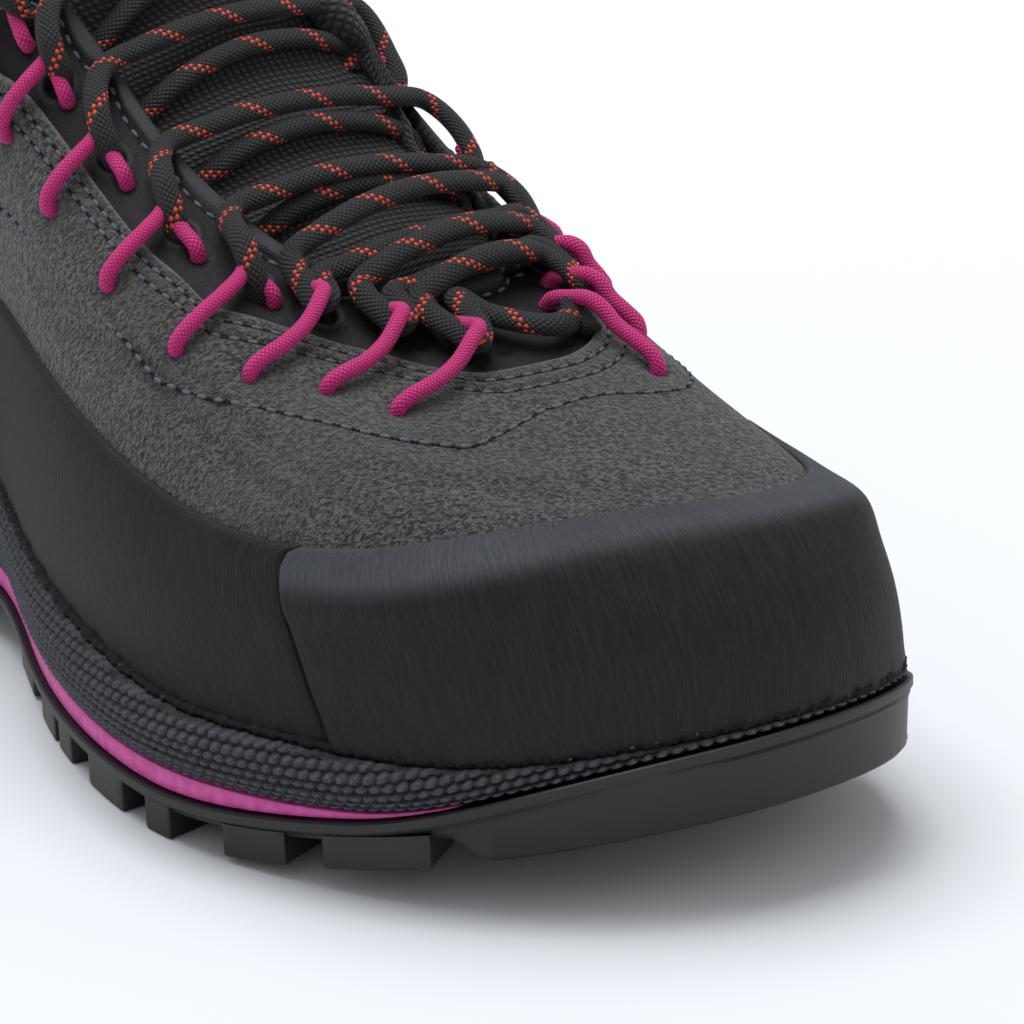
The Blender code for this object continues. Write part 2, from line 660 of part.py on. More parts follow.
def make_rand(name, start, end, rubber, thickness=RAND_THICKNESS, ridge=0.0):
    """A rubber strip over the lower part of the upper, from one station to another."""
    station = stations(start, end)
    shares = steps(np.zeros(station.shape), rand_share(station), RAND_STEPS)
    grid = np.repeat(station[:, None], shares.shape[1], axis=1)
    part = np.linspace(0, 1, RAND_STEPS + 1)
    thick = thickness * (1 - RAND_THINNING * part**6)
    thick += ridge * np.exp(-((part - CAP_RIDGE_PLACE) / CAP_RIDGE_SPREAD) ** 2)
    foot = skin(grid, shares)
    outer, inner = (level_foot(skin(grid, shares, out), foot) for out in (GAP + thick, GAP))
    slab(name, trimmed(outer), trimmed(inner), rubber)


def make_facing(fabric):
    """The eyestay: a smooth band round the throat, inside the suede's edge, with a raised rim."""
    station = stations(THROAT_START, THROAT_END)
    outer_edge = suede_share(station) + FACING_CLEAR
    rim = share_from_rim(station, RIM_WIDTH)
    before = share_from_rim(station, RIM_WIDTH + RIM_SLOPE)
    shares = np.stack([outer_edge, (outer_edge + before) / 2, before, rim, np.ones(rim.shape)], 1)
    grid = np.repeat(station[:, None], shares.shape[1], axis=1)
    low = FACING_THICKNESS - WALL
    raised = np.array([low, low, low, low + RIM_RAISE, low + RIM_RAISE])
    slab("facing", trimmed(skin(grid, shares, raised)), trimmed(skin(grid, shares, -WALL)), fabric)


def make_cuff(fabric):
    """The padded edge of the collar, from one top eyelet round the heel to the other."""
    station = stations(THROAT_END + 1 / 3 - ROWS, THROAT_START - 1 / 3)
    low = share_from_rim(station, CUFF_DEPTH)
    part, fullness = np.array(CUFF_PROFILE).T
    shares = low[:, None] * (1 - part) + part
    grid = np.repeat(station[:, None], len(part), axis=1)
    outer = skin(grid, shares, -WALL - CUFF_CLEAR)
    inner = skin(grid, shares, -WALL - GAP - CUFF_THICKNESS * fullness)
    (edge_depth, edge_rise), (middle_depth, middle_rise) = CUFF_CROWN
    up = np.array([0, 0, CUFF_RISE])
    crown_out = skin(station, np.ones(station.shape), -WALL * edge_depth) + up * edge_rise
    crown_mid = skin(station, np.ones(station.shape), -WALL - CUFF_THICKNESS * middle_depth) + up * middle_rise
    outer = np.concatenate([outer, crown_out[:, None]], axis=1)
    inner = np.concatenate([inner, crown_mid[:, None]], axis=1)
    slab("collar_cuff", outer, inner, fabric)


def opposite(station):
    """The station of the inner rim straight across from a station of the outer rim."""
    inner = np.linspace(THROAT_END, ROWS - TONGUE_TOE, ROWS * RIBS_PER_ROW)
    return np.interp(on_rib(station, 1.0)[..., 0], on_rib(inner, np.ones(inner.shape))[:, 0], inner)


def throat_line(station, across, out=0.0):
    """Points between the two rims of the throat, on a crowned surface level with the rims."""
    rims = skin(station, 1.0), skin(opposite(station), 1.0)
    across = np.asarray(across, float)[:, None]
    width = np.linalg.norm(rims[1] - rims[0])
    line = rims[0] * (1 - across) + rims[1] * across
    line[:, 2] += TONGUE_CROWN * width * 4 * (across * (1 - across))[:, 0] + out
    return line


def tongue_lines():
    """The lines across the top of the tongue, from its toe end to its top."""
    depth = -WALL - TONGUE_DEPTH
    toe = np.linspace(TONGUE_TOE, opposite(TONGUE_TOE), 7)
    lines = [skin(toe, share_from_rim(toe, TONGUE_LAP * np.array(tip)), depth) for tip in TONGUE_TIPS]
    for station in stations(THROAT_START, TONGUE_TOE)[-2::-1]:
        pair = np.array([station, opposite(station)])
        laps = skin(pair, share_from_rim(pair, TONGUE_LAP), depth)
        rims = skin(pair, np.ones(2), depth)
        middle = throat_line(station, np.array([0.25, 0.5, 0.75]), depth)
        lines.append(np.concatenate([laps[:1], rims[:1], middle, rims[1:], laps[1:]]))
    last = lines[-1]
    centre = last.mean(axis=0)
    across = (last[:, 1] - centre[1]) / (last[-1] - last[0])[1]
    for angle, part, width in zip(TONGUE_LEANS, TONGUE_TOP_PARTS, TONGUE_TOP_WIDTHS):
        lean = math.radians(angle)
        centre = centre + np.array([-math.cos(lean), 0, math.sin(lean)]) * TONGUE_RISE * part
        line = np.repeat(centre[None], len(last), axis=0)
        line[:, 1] += across * TONGUE_TOP_WIDTH * width
        line[:, 2] += (last[:, 2] - last[:, 2].mean()) * TONGUE_TOP_CURL
        lines.append(line)
    return np.array(lines)


def make_tongue(fabric):
    """A padded tongue, which lies under the facings and stands up past the top eyelets."""
    top = tongue_lines()
    along, across = np.gradient(top, axis=0), np.gradient(top, axis=1)
    normal = np.cross(across, along)
    normal /= np.linalg.norm(normal, axis=-1, keepdims=True)
    thick = np.full(top.shape[:2], TONGUE_THICKNESS)
    thick[:, (0, -1)] = thick[0] = TONGUE_EDGE
    slab("tongue", top, top - normal * thick[..., None], fabric)


def make_heel_pull(webbing):
    """The loop at the heel: sewn to its back, up over a free arc and down to the collar's edge."""
    side = PULL_WIDTH / 2
    heights = HEEL_HEIGHT - PULL_DEPTH + PULL_SEWN * np.linspace(0, 1, 3)
    back = skin(np.zeros(3), share_at_height(np.zeros(3), heights), 3 * GAP + PULL_THICKNESS / 2)
    rim = skin(np.zeros(1), np.ones(1))[0]
    way, rise = np.array(PULL_ARC).T
    arc_x = back[-1][0] + (rim[0] - back[-1][0]) * way
    arc_z = rim[2] + (PULL_HEIGHT - rim[2]) * rise
    path = np.concatenate([back, np.stack([arc_x, np.zeros(len(way)), arc_z], -1)])
    path[:, 1] = rim[1]
    along = np.gradient(path, axis=0)
    normal = np.cross(along, (0, 1, 0))
    normal *= PULL_THICKNESS / 2 / np.linalg.norm(normal, axis=-1, keepdims=True)
    across = np.array([-1, 1])[None, :, None] * np.array([0, side, 0])
    slab("heel_pull", (path - normal)[:, None] + across, (path + normal)[:, None] + across, webbing)


def smooth_path(points, count):
    """Evenly spread points of a smooth path through a few given ones."""
    points = np.asarray(points, float)
    knots = np.concatenate([[0], np.cumsum(np.linalg.norm(np.diff(points, axis=0), axis=1))])
    slopes = np.gradient(points, knots, axis=0)
    wanted = np.linspace(0, knots[-1], count)
    first = np.clip(np.searchsorted(knots, wanted, "right") - 1, 0, len(knots) - 2)
    size = (knots[first + 1] - knots[first])[:, None]
    part = (wanted - knots[first])[:, None] / size
    ends = points[first] * (1 + 2 * part) * (1 - part) ** 2 + points[first + 1] * part**2 * (3 - 2 * part)
    return ends + size * (slopes[first] * part * (1 - part) ** 2 - slopes[first + 1] * part**2 * (1 - part))


def tube(name, path, diameter, finish_material=None):
    """A round cord along a path, as a closed mesh. Without a material it is a helper for a Boolean."""
    curve = bpy.data.curves.new(name, "CURVE")
    curve.dimensions = "3D"
    curve.bevel_depth = diameter / 2
    curve.bevel_resolution = 2
    curve.use_fill_caps = True
    spline = curve.splines.new("POLY")
    spline.points.add(len(path) - 1)
    for point, where in zip(spline.points, place(path)):
        point.co = (*where, 1)
    held = bpy.data.objects.new(name + "_path", curve)
    bpy.data.collections["cutters"].objects.link(held)
    graph = bpy.context.evaluated_depsgraph_get()
    mesh = bmesh.new()
    mesh.from_mesh(bpy.data.meshes.new_from_object(held.evaluated_get(graph)))
    bpy.data.objects.remove(held)
    bmesh.ops.remove_doubles(mesh, verts=mesh.verts, dist=1e-6)
    return finish(name, mesh, finish_material) if finish_material else as_object(name, mesh)


def loop_places(row):
    """The hole, the apex and the leg's hole of a cord loop, as stations and shares of their ribs."""
    named = dict(zip(LOOP_COLUMNS, row))
    return [np.array([named[name], named[name + "_share"]]) for name in ("hole", "apex", "leg")]


def loop_path(row):
    """A cord loop rises from the suede's hole, turns at its apex and ends in the facing's hole."""
    low = LOOP_DIAMETER / 2 + GAP
    hole, apex, leg = loop_places(row)
    shape = [(hole + (apex - hole) * way, low + LOOP_HEIGHT * rise) for way, rise in LOOP_UP]
    shape += [(apex + (leg - apex) * way, low + LOOP_HEIGHT * rise) for way, rise in LOOP_DOWN]
    return np.array([skin(station, share, out) for (station, share), out in shape])


def lace_turn(row):
    """Three points where a strand turns at a loop: it comes from the toe side and leaves on the heel side."""
    station, share = loop_places(row)[1]
    out = LACE_DIAMETER / 2 + LACE_CLEAR
    middle = skin(station, share + (1 - share) * LACE_END, out)
    outwards = middle - skin(station, 1.0, out)
    outwards *= LACE_TURN / np.linalg.norm(outwards)
    heelwards = station - TURN_STATIONS if station < TOE_TIP else station + TURN_STATIONS
    up_throat = skin(heelwards, 1.0) - skin(station, 1.0)
    up_throat *= LACE_TURN / np.linalg.norm(up_throat)
    return [middle - up_throat - outwards / 2, middle + outwards / 2, middle + up_throat - outwards / 2]


def crossing_arch(start, end, lift):
    """The middle points of a strand from one rim to the other, lifted clear of the tongue."""
    width = np.linalg.norm(end - start)
    part = np.linspace(0, 1, STRAND_POINTS)[1:-1]
    line = start * (1 - part)[:, None] + end * part[:, None]
    line[:, 2] += (TONGUE_CROWN * width + LACE_ARCH + lift) * (4 * part * (1 - part)) ** STRAND_FULLNESS
    return list(line)


def lace_strand(first_side, with_bar):
    """One strand from the toe end to the top: it changes sides at every row, over and under in turn."""
    sides = (OUTER_LOOPS, INNER_LOOPS)
    side = first_side
    points = []
    if with_bar:
        start = lace_turn(sides[1 - side][0])[0]
        end = lace_turn(sides[side][0])[0]
        points += [start, *crossing_arch(start, end, 0.0)]
    for number in range(len(OUTER_LOOPS)):
        turn = lace_turn(sides[side][number])
        if number == 0 and not with_bar:
            turn = turn[:1]
        if number == len(OUTER_LOOPS) - 1:
            points += turn[:1]
            break
        points += turn
        side = 1 - side
        lift = LACE_OVER * ((number + with_bar) % 2)
        points += crossing_arch(turn[-1], lace_turn(sides[side][number + 1])[0], lift)
    return points


def make_lacing(lace, cord):
    """The loops, and the lace: its lowest bar and its crossings, joined where the strands meet."""
    for side, loops in (("outer", OUTER_LOOPS), ("inner", INNER_LOOPS)):
        for number, row in enumerate(loops, 1):
            tube(f"cord_loop_{side}_{number}", smooth_path(loop_path(row), LOOP_POINTS), LOOP_DIAMETER, cord)
    whole = tube("lace", lace_strand(1, True), LACE_DIAMETER, lace)
    join(whole, tube("lace_second", lace_strand(0, False), LACE_DIAMETER), "UNION")


def build():
    for old in list(bpy.data.objects):
        bpy.data.objects.remove(old)
    for name in ("approach_shoe", "cutters"):
        collection = bpy.data.collections.new(name)
        bpy.context.scene.collection.children.link(collection)
    suede = material("suede", (0.093, 0.095, 0.093), 0.9)
    rubber = material("rand_rubber", (0.030, 0.030, 0.030), 0.6)
    tread = material("sole_rubber", (0.022, 0.022, 0.022), 0.5)
    foam = material("knobbly_foam", (0.034, 0.038, 0.044), 0.85)
    line = material("pink_foam", (0.70, 0.10, 0.38), 0.7)
    smooth = material("microfibre", (0.040, 0.040, 0.045), 0.7)
    mesh_cloth = material("mesh_cloth", (0.018, 0.018, 0.020), 0.85)
    lace = material("braided_lace", (0.020, 0.024, 0.028), 0.7)
    cord = material("pink_cord", (0.65, 0.04, 0.25), 0.6)
    make_outsole(tread)
    make_line(line)
    make_midsole(foam)
    make_insole(mesh_cloth)
    make_upper(suede)
    make_rand("toe_cap", CAP_START, CAP_END, rubber, CAP_THICKNESS, CAP_RIDGE)
    make_rand("side_rand_outer", HEEL_RAND_END, CAP_START, rubber)
    make_rand("side_rand_inner", CAP_END, ROWS - HEEL_RAND_END, rubber)
    make_rand("heel_rand", -HEEL_RAND_END, HEEL_RAND_END, rubber)
    make_facing(smooth)
    make_cuff(mesh_cloth)
    make_tongue(mesh_cloth)
    make_heel_pull(smooth)
    make_lacing(lace, cord)


build()
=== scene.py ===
# %% [markdown]
# # An approach shoe, dressed for its picture
# The solids of the shoe come packed. This lesson gives each of them the surface of the real thing:
# napped suede, buffed rubber, a knobbly foam side, a padded mesh tongue, cord loops and a braided lace.
# The curved pieces are worked out again from the same short table of ribs, only far finer, so every
# seam, groove and crease has faces of its own.

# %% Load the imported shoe
import math

import bmesh
import bpy
import numpy as np
from mathutils import Matrix, Vector


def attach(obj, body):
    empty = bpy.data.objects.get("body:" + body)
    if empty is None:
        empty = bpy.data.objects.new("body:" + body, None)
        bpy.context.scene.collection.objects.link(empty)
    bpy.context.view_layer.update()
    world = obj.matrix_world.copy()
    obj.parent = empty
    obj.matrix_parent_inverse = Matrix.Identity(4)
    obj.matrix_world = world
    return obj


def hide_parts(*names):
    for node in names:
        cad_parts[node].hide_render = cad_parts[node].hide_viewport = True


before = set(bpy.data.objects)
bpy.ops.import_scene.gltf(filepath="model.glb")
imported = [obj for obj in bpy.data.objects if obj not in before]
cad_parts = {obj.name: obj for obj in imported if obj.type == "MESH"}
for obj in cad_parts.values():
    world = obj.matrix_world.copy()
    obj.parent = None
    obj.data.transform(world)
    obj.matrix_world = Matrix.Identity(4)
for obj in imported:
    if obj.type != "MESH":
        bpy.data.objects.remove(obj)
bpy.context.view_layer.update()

# %% [markdown]
# The camera stands where the photographer stood: low, outside the shoe's outer side and near its toe,
# with a long lens. Its place, aim and small roll were found by fitting the shoe's known edges to the
# picture.

# %% Camera
MM = 0.001
EYE = Vector((744.7, -463.0, 372.5)) * MM
AIM = Vector((70.0, 6.24, 41.2)) * MM
ROLL = math.radians(-2.68)
LENS = 209.3

camera = bpy.data.objects.new("camera", bpy.data.cameras.new("camera"))
bpy.context.scene.collection.objects.link(camera)
camera.data.lens = LENS
camera.data.sensor_width = 36
turn = (AIM - EYE).to_track_quat("-Z", "Y").to_matrix().to_4x4() @ Matrix.Rotation(ROLL, 4, "Z")
camera.matrix_world = Matrix.Translation(EYE) @ turn
bpy.context.scene.camera = camera
print("camera", round((EYE - AIM).length, 3), "m from the shoe")

# %% [markdown]
# The shoe is worked out from ribs. Each row of the table below is one rib of the last: where it stands
# on the sole's outline, how it leans and folds, and where it meets the rim of the collar or throat. A
# closed smooth curve through the rows gives a rib at any station between them. Two small helpers that
# many pieces use come with it: a soft step and the length along a row of points.

# %% Sizes and the table of ribs
LENGTH, BALL_WIDTH, INSTEP_HEIGHT, HEEL_HEIGHT = 0.268, 0.101, 0.110, 0.098
SOLE_SIDE, RAND_HEIGHT, FEATHER_INSET, WALL_LEAN = 0.028, 0.050, 0.0056, 0.010
WALL, GAP = 0.0024, 0.0003
COLUMNS = (
    "along", "across", "sole", "inset", "lean", "rise", "fold", "shoulder", "reach", "crest",
    "rim_along", "rim_across", "heel", "instep", "rand", "facing",
)
RIBS = np.array((
    (0.000, 0.030, 0.96, 0.80, -0.50, 0.30, -0.20, 0.52, 0.60, 0.28, 0.052, 0.030, 1.00, 0.00, 1.16, 0.5),
    (0.037, -0.188, 0.96, 0.80, -0.40, 0.30, -0.10, 0.52, 0.60, 0.28, 0.071, -0.129, 0.95, 0.00, 1.12, 0.5),
    (0.134, -0.300, 0.96, 0.70, -0.30, 0.30, 0.10, 0.52, 0.55, 0.28, 0.149, -0.238, 0.82, 0.00, 1.06, 0.5),
    (0.276, -0.300, 1.00, 0.40, -0.20, 0.32, 0.25, 0.55, 0.45, 0.28, 0.254, -0.267, 0.40, 0.37, 1.10, 0.6),
    (0.418, -0.310, 1.08, 0.30, -0.10, 0.36, 0.30, 0.60, 0.40, 0.24, 0.358, -0.190, 0.00, 1.00, 1.24, 1.05),
    (0.545, -0.428, 0.97, 0.60, 0.00, 0.40, 0.30, 0.62, 0.42, 0.20, 0.425, -0.094, 0.00, 0.93, 1.16, 1.22),
    (0.683, -0.500, 0.79, 0.95, 0.10, 0.42, 0.26, 0.62, 0.42, 0.17, 0.500, -0.079, 0.00, 0.795, 1.02, 1.12),
    (0.795, -0.446, 0.68, 1.00, 0.20, 0.50, 0.18, 0.62, 0.43, 0.19, 0.560, -0.059, 0.00, 0.718, 0.96, 1.15),
    (0.896, -0.317, 0.52, 1.00, 0.15, 0.56, 0.15, 0.64, 0.45, 0.30, 0.604, -0.030, 0.00, 0.673, 1.01, 1.30),
    (0.970, -0.104, 0.45, 1.00, 0.10, 0.60, 0.15, 0.65, 0.46, 0.37, 0.636, 0.040, 0.00, 0.641, 1.05, 1.45),
    (1.000, 0.139, 0.44, 0.80, 0.10, 0.60, 0.15, 0.65, 0.46, 0.37, 0.652, 0.149, 0.00, 0.630, 1.05, 1.45),
    (0.966, 0.371, 0.45, 0.75, 0.10, 0.60, 0.14, 0.65, 0.46, 0.35, 0.650, 0.240, 0.00, 0.632, 1.02, 1.30),
    (0.866, 0.465, 0.52, 1.00, 0.10, 0.54, 0.15, 0.66, 0.48, 0.27, 0.622, 0.305, 0.00, 0.648, 1.00, 1.10),
    (0.739, 0.500, 0.70, 0.95, 0.00, 0.46, 0.22, 0.64, 0.46, 0.26, 0.560, 0.335, 0.00, 0.715, 1.02, 0.95),
    (0.597, 0.426, 0.90, 0.60, -0.10, 0.40, 0.28, 0.62, 0.42, 0.25, 0.470, 0.330, 0.00, 0.860, 1.10, 0.85),
    (0.455, 0.322, 1.02, 0.30, -0.20, 0.36, 0.30, 0.60, 0.40, 0.27, 0.372, 0.310, 0.00, 0.985, 1.18, 0.80),
    (0.299, 0.297, 1.00, 0.40, -0.20, 0.32, 0.25, 0.55, 0.45, 0.28, 0.246, 0.307, 0.40, 0.36, 1.10, 0.6),
    (0.142, 0.347, 0.96, 0.70, -0.30, 0.30, 0.10, 0.52, 0.55, 0.28, 0.149, 0.277, 0.83, 0.00, 1.06, 0.5),
    (0.037, 0.248, 0.96, 0.80, -0.40, 0.30, -0.10, 0.52, 0.60, 0.28, 0.071, 0.178, 0.95, 0.00, 1.12, 0.5),
))
ROWS = len(RIBS)


def spline_bends(values):
    """Second derivatives of the closed smooth curve through the rows."""
    count = len(values)
    matrix = 4 * np.eye(count) + np.roll(np.eye(count), 1, 1) + np.roll(np.eye(count), -1, 1)
    return np.linalg.solve(matrix, 6 * (np.roll(values, -1, 0) - 2 * values + np.roll(values, 1, 0)))


BENDS = spline_bends(RIBS)


def section(station):
    """The table's values, by name, at any station between its rows."""
    station = np.asarray(station, float) % ROWS
    first = np.floor(station).astype(int) % ROWS
    second = (first + 1) % ROWS
    part = (station - np.floor(station))[..., None]
    rest = 1 - part
    row = rest * RIBS[first] + part * RIBS[second]
    row = row + ((rest**3 - rest) * BENDS[first] + (part**3 - part) * BENDS[second]) / 6
    return {name: row[..., place] for place, name in enumerate(COLUMNS)}


def smooth_step(share):
    share = np.clip(share, 0, 1)
    return share * share * (3 - 2 * share)


def measured(points, axis=0):
    """The length of the way to each point from the first."""
    return np.insert(np.cumsum(np.linalg.norm(np.diff(points, axis=axis), axis=-1), axis=axis), 0, 0, axis=axis)


print("ribs", ROWS, "columns", len(COLUMNS))

# %% [markdown]
# The sole's own lines come next: the ground line with its arch, toe spring and bevelled heel, the top of
# the outsole, the thin line of foam and the deck that carries the upper.

# %% Lines of the sole
TOE_SPRING, SPRING_START, SPRING_POWER = 0.0155, 0.70, 1.7
HEEL_BEVEL, HEEL_FLAT = 0.003, 0.06
ARCH_RISE, ARCH_START, ARCH_END = 0.003, 0.32, 0.52
OUTSOLE_SIDE, OUTSOLE_TOE_SIDE, OUTSOLE_TOE_START, OUTSOLE_TOE_END = 0.0078, 0.0115, 0.84, 0.985
LINE_THICKNESS, LINE_THINS, LINE_END = 0.003, 0.70, 0.90
LUG_DEPTH, CLIMBING_EDGE, CLIMBING_EDGE_END = 0.0042, 0.885, 0.905


def sole_line(x):
    share = np.asarray(x, float) / LENGTH
    toe = TOE_SPRING * np.clip((share - SPRING_START) / (1 - SPRING_START), 0, None) ** SPRING_POWER
    arch = np.clip((share - ARCH_START) / (ARCH_END - ARCH_START), 0, 1)
    return toe + ARCH_RISE * np.sin(math.pi * arch) ** 2


def tread_line(x):
    share = np.asarray(x, float) / LENGTH
    return sole_line(x) + HEEL_BEVEL * np.clip((HEEL_FLAT - share) / HEEL_FLAT, 0, None) ** 2


def outsole_top(x):
    share = (np.asarray(x, float) / LENGTH - OUTSOLE_TOE_START) / (OUTSOLE_TOE_END - OUTSOLE_TOE_START)
    return sole_line(x) + OUTSOLE_SIDE + (OUTSOLE_TOE_SIDE - OUTSOLE_SIDE) * smooth_step(share)


def line_top(x):
    share = np.asarray(x, float) / LENGTH
    thin = smooth_step((share - LINE_THINS) / (LINE_END - LINE_THINS))
    return outsole_top(x) + 2 * GAP + LINE_THICKNESS * (1 - thin)


def base_bottom(x):
    share = np.asarray(x, float) / LENGTH
    full = smooth_step((share - CLIMBING_EDGE) / (CLIMBING_EDGE_END - CLIMBING_EDGE))
    return tread_line(x) + LUG_DEPTH * (1 - full)


def outline(station, inset=0.0):
    """Plan of the sole's edge, drawn in by inset."""
    step = 1e-3
    ahead, behind, here = (section(np.asarray(station) + d) for d in (step, -step, 0))
    along = (ahead["along"] - behind["along"]) * LENGTH
    across = (ahead["across"] - behind["across"]) * BALL_WIDTH
    size = np.hypot(along, across)
    return (
        here["along"] * LENGTH - across / size * inset,
        here["across"] * BALL_WIDTH + along / size * inset,
    )


def edge_at(station, inset, height, plan=outline):
    """Points of the sole's edge at a height."""
    return np.stack([*plan(station, inset), height], -1)


def deck(station):
    return sole_line(outline(station)[0]) + section(station)["sole"] * SOLE_SIDE


print("sole side at the ball", round(float(deck(6.0)) * 1000, 1), "mm")

# %% [markdown]
# A rib is one curve from the sole's edge to the rim. Points of the upper's surface are found by station
# and share of the rib, and anything that lies on the upper stands out from it along the surface's own
# normal. One surface for every piece is what keeps seams, rubber and cords in touch with the suede.

# %% The upper's surface
def rib(station):
    row = section(station)
    foot = edge_at(station, row["inset"] * FEATHER_INSET, deck(station) + GAP)
    height = row["heel"] * HEEL_HEIGHT + row["instep"] * INSTEP_HEIGHT
    rim = np.stack([row["rim_along"] * LENGTH, row["rim_across"] * BALL_WIDTH, height], -1)
    run = (rim - foot) * np.array([1, 1, 0])
    inwards = run / np.linalg.norm(run, axis=-1, keepdims=True)
    up = (rim - foot) * np.array([0, 0, 1])
    lean, rise, fold, shoulder, reach, crest = (row[name][..., None] for name in COLUMNS[4:10])
    first = foot + inwards * lean * WALL_LEAN + up * rise
    return foot, first, foot + run * fold + up * shoulder, rim - run * reach - up * crest, rim


def on_rib(station, share):
    foot, first, middle, last, rim = rib(station)
    share = np.asarray(share, float)[..., None]
    rest = 1 - share
    wall = rest**4 * foot + 4 * rest**3 * share * first + 6 * rest**2 * share**2 * middle
    return wall + 4 * rest * share**3 * last + share**4 * rim


def skin_normal(station, share):
    step = 1e-3
    station, share = np.broadcast_arrays(np.asarray(station, float), np.asarray(share, float))
    round_way = on_rib(station + step, share) - on_rib(station - step, share)
    up_way = on_rib(station, share + step) - on_rib(station, share - step)
    normal = np.cross(round_way, up_way)
    return normal / np.linalg.norm(normal, axis=-1, keepdims=True)


def skin(station, share, out=0.0):
    station, share = np.broadcast_arrays(np.asarray(station, float), np.asarray(share, float))
    return on_rib(station, share) + skin_normal(station, share) * np.asarray(out, float)[..., None]


def share_at_height(station, height):
    low, high = np.zeros(np.shape(station)), np.ones(np.shape(station))
    for _ in range(30):
        middle = (low + high) / 2
        below = on_rib(station, middle)[..., 2] < height
        low, high = np.where(below, middle, low), np.where(below, high, middle)
    return (low + high) / 2


SOLE_PLAN = outline(np.linspace(0, ROWS, 400))
MIDDLE = np.array([(LENGTH - 0.001) / 2, (SOLE_PLAN[1].min() + SOLE_PLAN[1].max()) / 2, 0.0])


def place(points):
    """From the heel's frame to the shoe's origin."""
    return np.asarray(points, float) - MIDDLE


print("rim at the toe of the throat", place(on_rib(9.0, 1.0)).round(4))

# %% [markdown]
# Distances from the rim are measured along the rib, as a pattern cutter would with a tape. A tape of
# points down each rib turns them into shares and back.

# %% Distances down the ribs
RULER_MARKS = 161


def ruler(station):
    """Shares down each rib from its rim, and their distances from the rim."""
    shares = np.linspace(1, 0, RULER_MARKS)
    return shares, measured(on_rib(np.asarray(station, float)[:, None], shares), 1)


def share_from_rim(station, distance):
    """The share at each distance from the rim: distance has a row for each station."""
    shares, lengths = ruler(station)
    distance = np.broadcast_to(distance, (len(lengths), *np.shape(distance)[1:]))
    return np.array([np.interp(wanted, found, shares) for wanted, found in zip(distance, lengths)])


def distance_of(station, share):
    shares, lengths = ruler(station)
    return np.array([np.interp(1 - s, 1 - shares, found) for s, found in zip(share, lengths)])


print("tape marks", RULER_MARKS)

# %% [markdown]
# Colours are written as they look on a screen and turned to linear light by one function. One more small
# function adds a node with its settings and links. A colour is then built up in layers, as a painter
# would: each layer has a mask, a colour and a strength.

# %% Helpers for materials
def shade(code):
    """A colour as the renderer wants it, from its screen code."""
    parts = [int(code[place:place + 2], 16) / 255 for place in (1, 3, 5)]
    return (*[p / 12.92 if p <= 0.04045 else ((p + 0.055) / 1.055) ** 2.4 for p in parts], 1)


def add(tree, kind, inputs=(), out=0, **settings):
    """Adds a node and gives one of its outputs. inputs are values or other nodes' outputs."""
    node = tree.nodes.new("ShaderNode" + kind)
    for name, value in settings.items():
        setattr(node, name, value)
    for name, value in (inputs if isinstance(inputs, dict) else dict(enumerate(inputs))).items():
        if isinstance(value, bpy.types.NodeSocket):
            tree.links.new(value, node.inputs[name])
        else:
            node.inputs[name].default_value = value
    return node.outputs[out]


def start(name, **values):
    """A new material with its shader's plain values set, its tree, and its Object coordinates."""
    made = bpy.data.materials.new(name)
    made.use_nodes = True
    for key, value in values.items():
        made.node_tree.nodes["Principled BSDF"].inputs[key.replace("_", " ")].default_value = value
    return made, made.node_tree, add(made.node_tree, "TexCoord", out="Object")


def reckon(tree, value, *steps):
    """A value taken through sums. Each step is a sum's name and its other numbers."""
    for name, *others in steps:
        value = add(tree, "Math", (value, *others), operation=name)
    return value


def layered(tree, base, *layers):
    """A colour with others laid over it, each by a mask, a colour and a strength. A mask is a socket or the
    name of a mark on the mesh, alone or with the two limits between which it rises from 0 to 1."""
    colour = shade(base)
    for mask, over, strength in layers:
        source, *limits = mask if isinstance(mask, tuple) else (mask,)
        if isinstance(source, str):
            source = add(tree, "Attribute", out="Fac", attribute_name=source, attribute_type="GEOMETRY")
        if limits:
            source = add(tree, "MapRange", (source, *limits))
        if strength < 1:
            source = reckon(tree, source, ("MULTIPLY", strength))
        colour = add(tree, "Mix", {0: source, 6: colour, 7: shade(over)}, out=2, data_type="RGBA")
    return colour


def finish_with(tree, colour, height, distance, strength=1.0, roughness=None):
    """Links a colour and a bump to the shader, and a roughness if it varies."""
    bump = add(tree, "Bump", {"Height": height, "Distance": distance, "Strength": strength})
    for name, socket in (("Normal", bump), ("Base Color", colour), ("Roughness", roughness)):
        if socket is not None:
            tree.links.new(socket, tree.nodes["Principled BSDF"].inputs[name])


print("first colour", [round(c, 3) for c in shade("#565857")])

# %% [markdown]
# Suede is leather split and sanded to a short nap. It throws light back in every direction, so it has
# almost no gloss. The nap lies in small clumps a little under a millimetre across, some leaning towards
# the light and some away, which gives the mottled grey. Its cut edge is paler and fuzzier.

# %% Suede
suede, tree, where = start(
    "napped_suede", Roughness=0.95, Sheen_Weight=0.25, Sheen_Roughness=0.6, Specular_IOR_Level=0.2,
)
clumps = add(tree, "TexNoise", {0: where, "Scale": 1300, "Detail": 2, "Roughness": 0.6, "Distortion": 0.5})
strokes = add(tree, "TexNoise", {0: where, "Scale": 110, "Detail": 3, "Roughness": 0.6})
patches = add(tree, "TexNoise", {0: where, "Scale": 28, "Detail": 2})
# The hole layer paints each cord's hole near-black: painted shade inside the hole.
colour = layered(
    tree, "#151716", ((clumps, 0.4, 0.62), "#575954", 1), ((strokes, 0.4, 0.7), "#313332", 0.5),
    ((patches, 0.45, 0.75), "#5A5953", 0.35), ("cut_edge", "#74726E", 0.85), ("hole", "#0B0B0C", 1),
)
finish_with(tree, colour, reckon(tree, strokes, ("MULTIPLY_ADD", 0.5, clumps)), 0.0009)
print(suede.name)
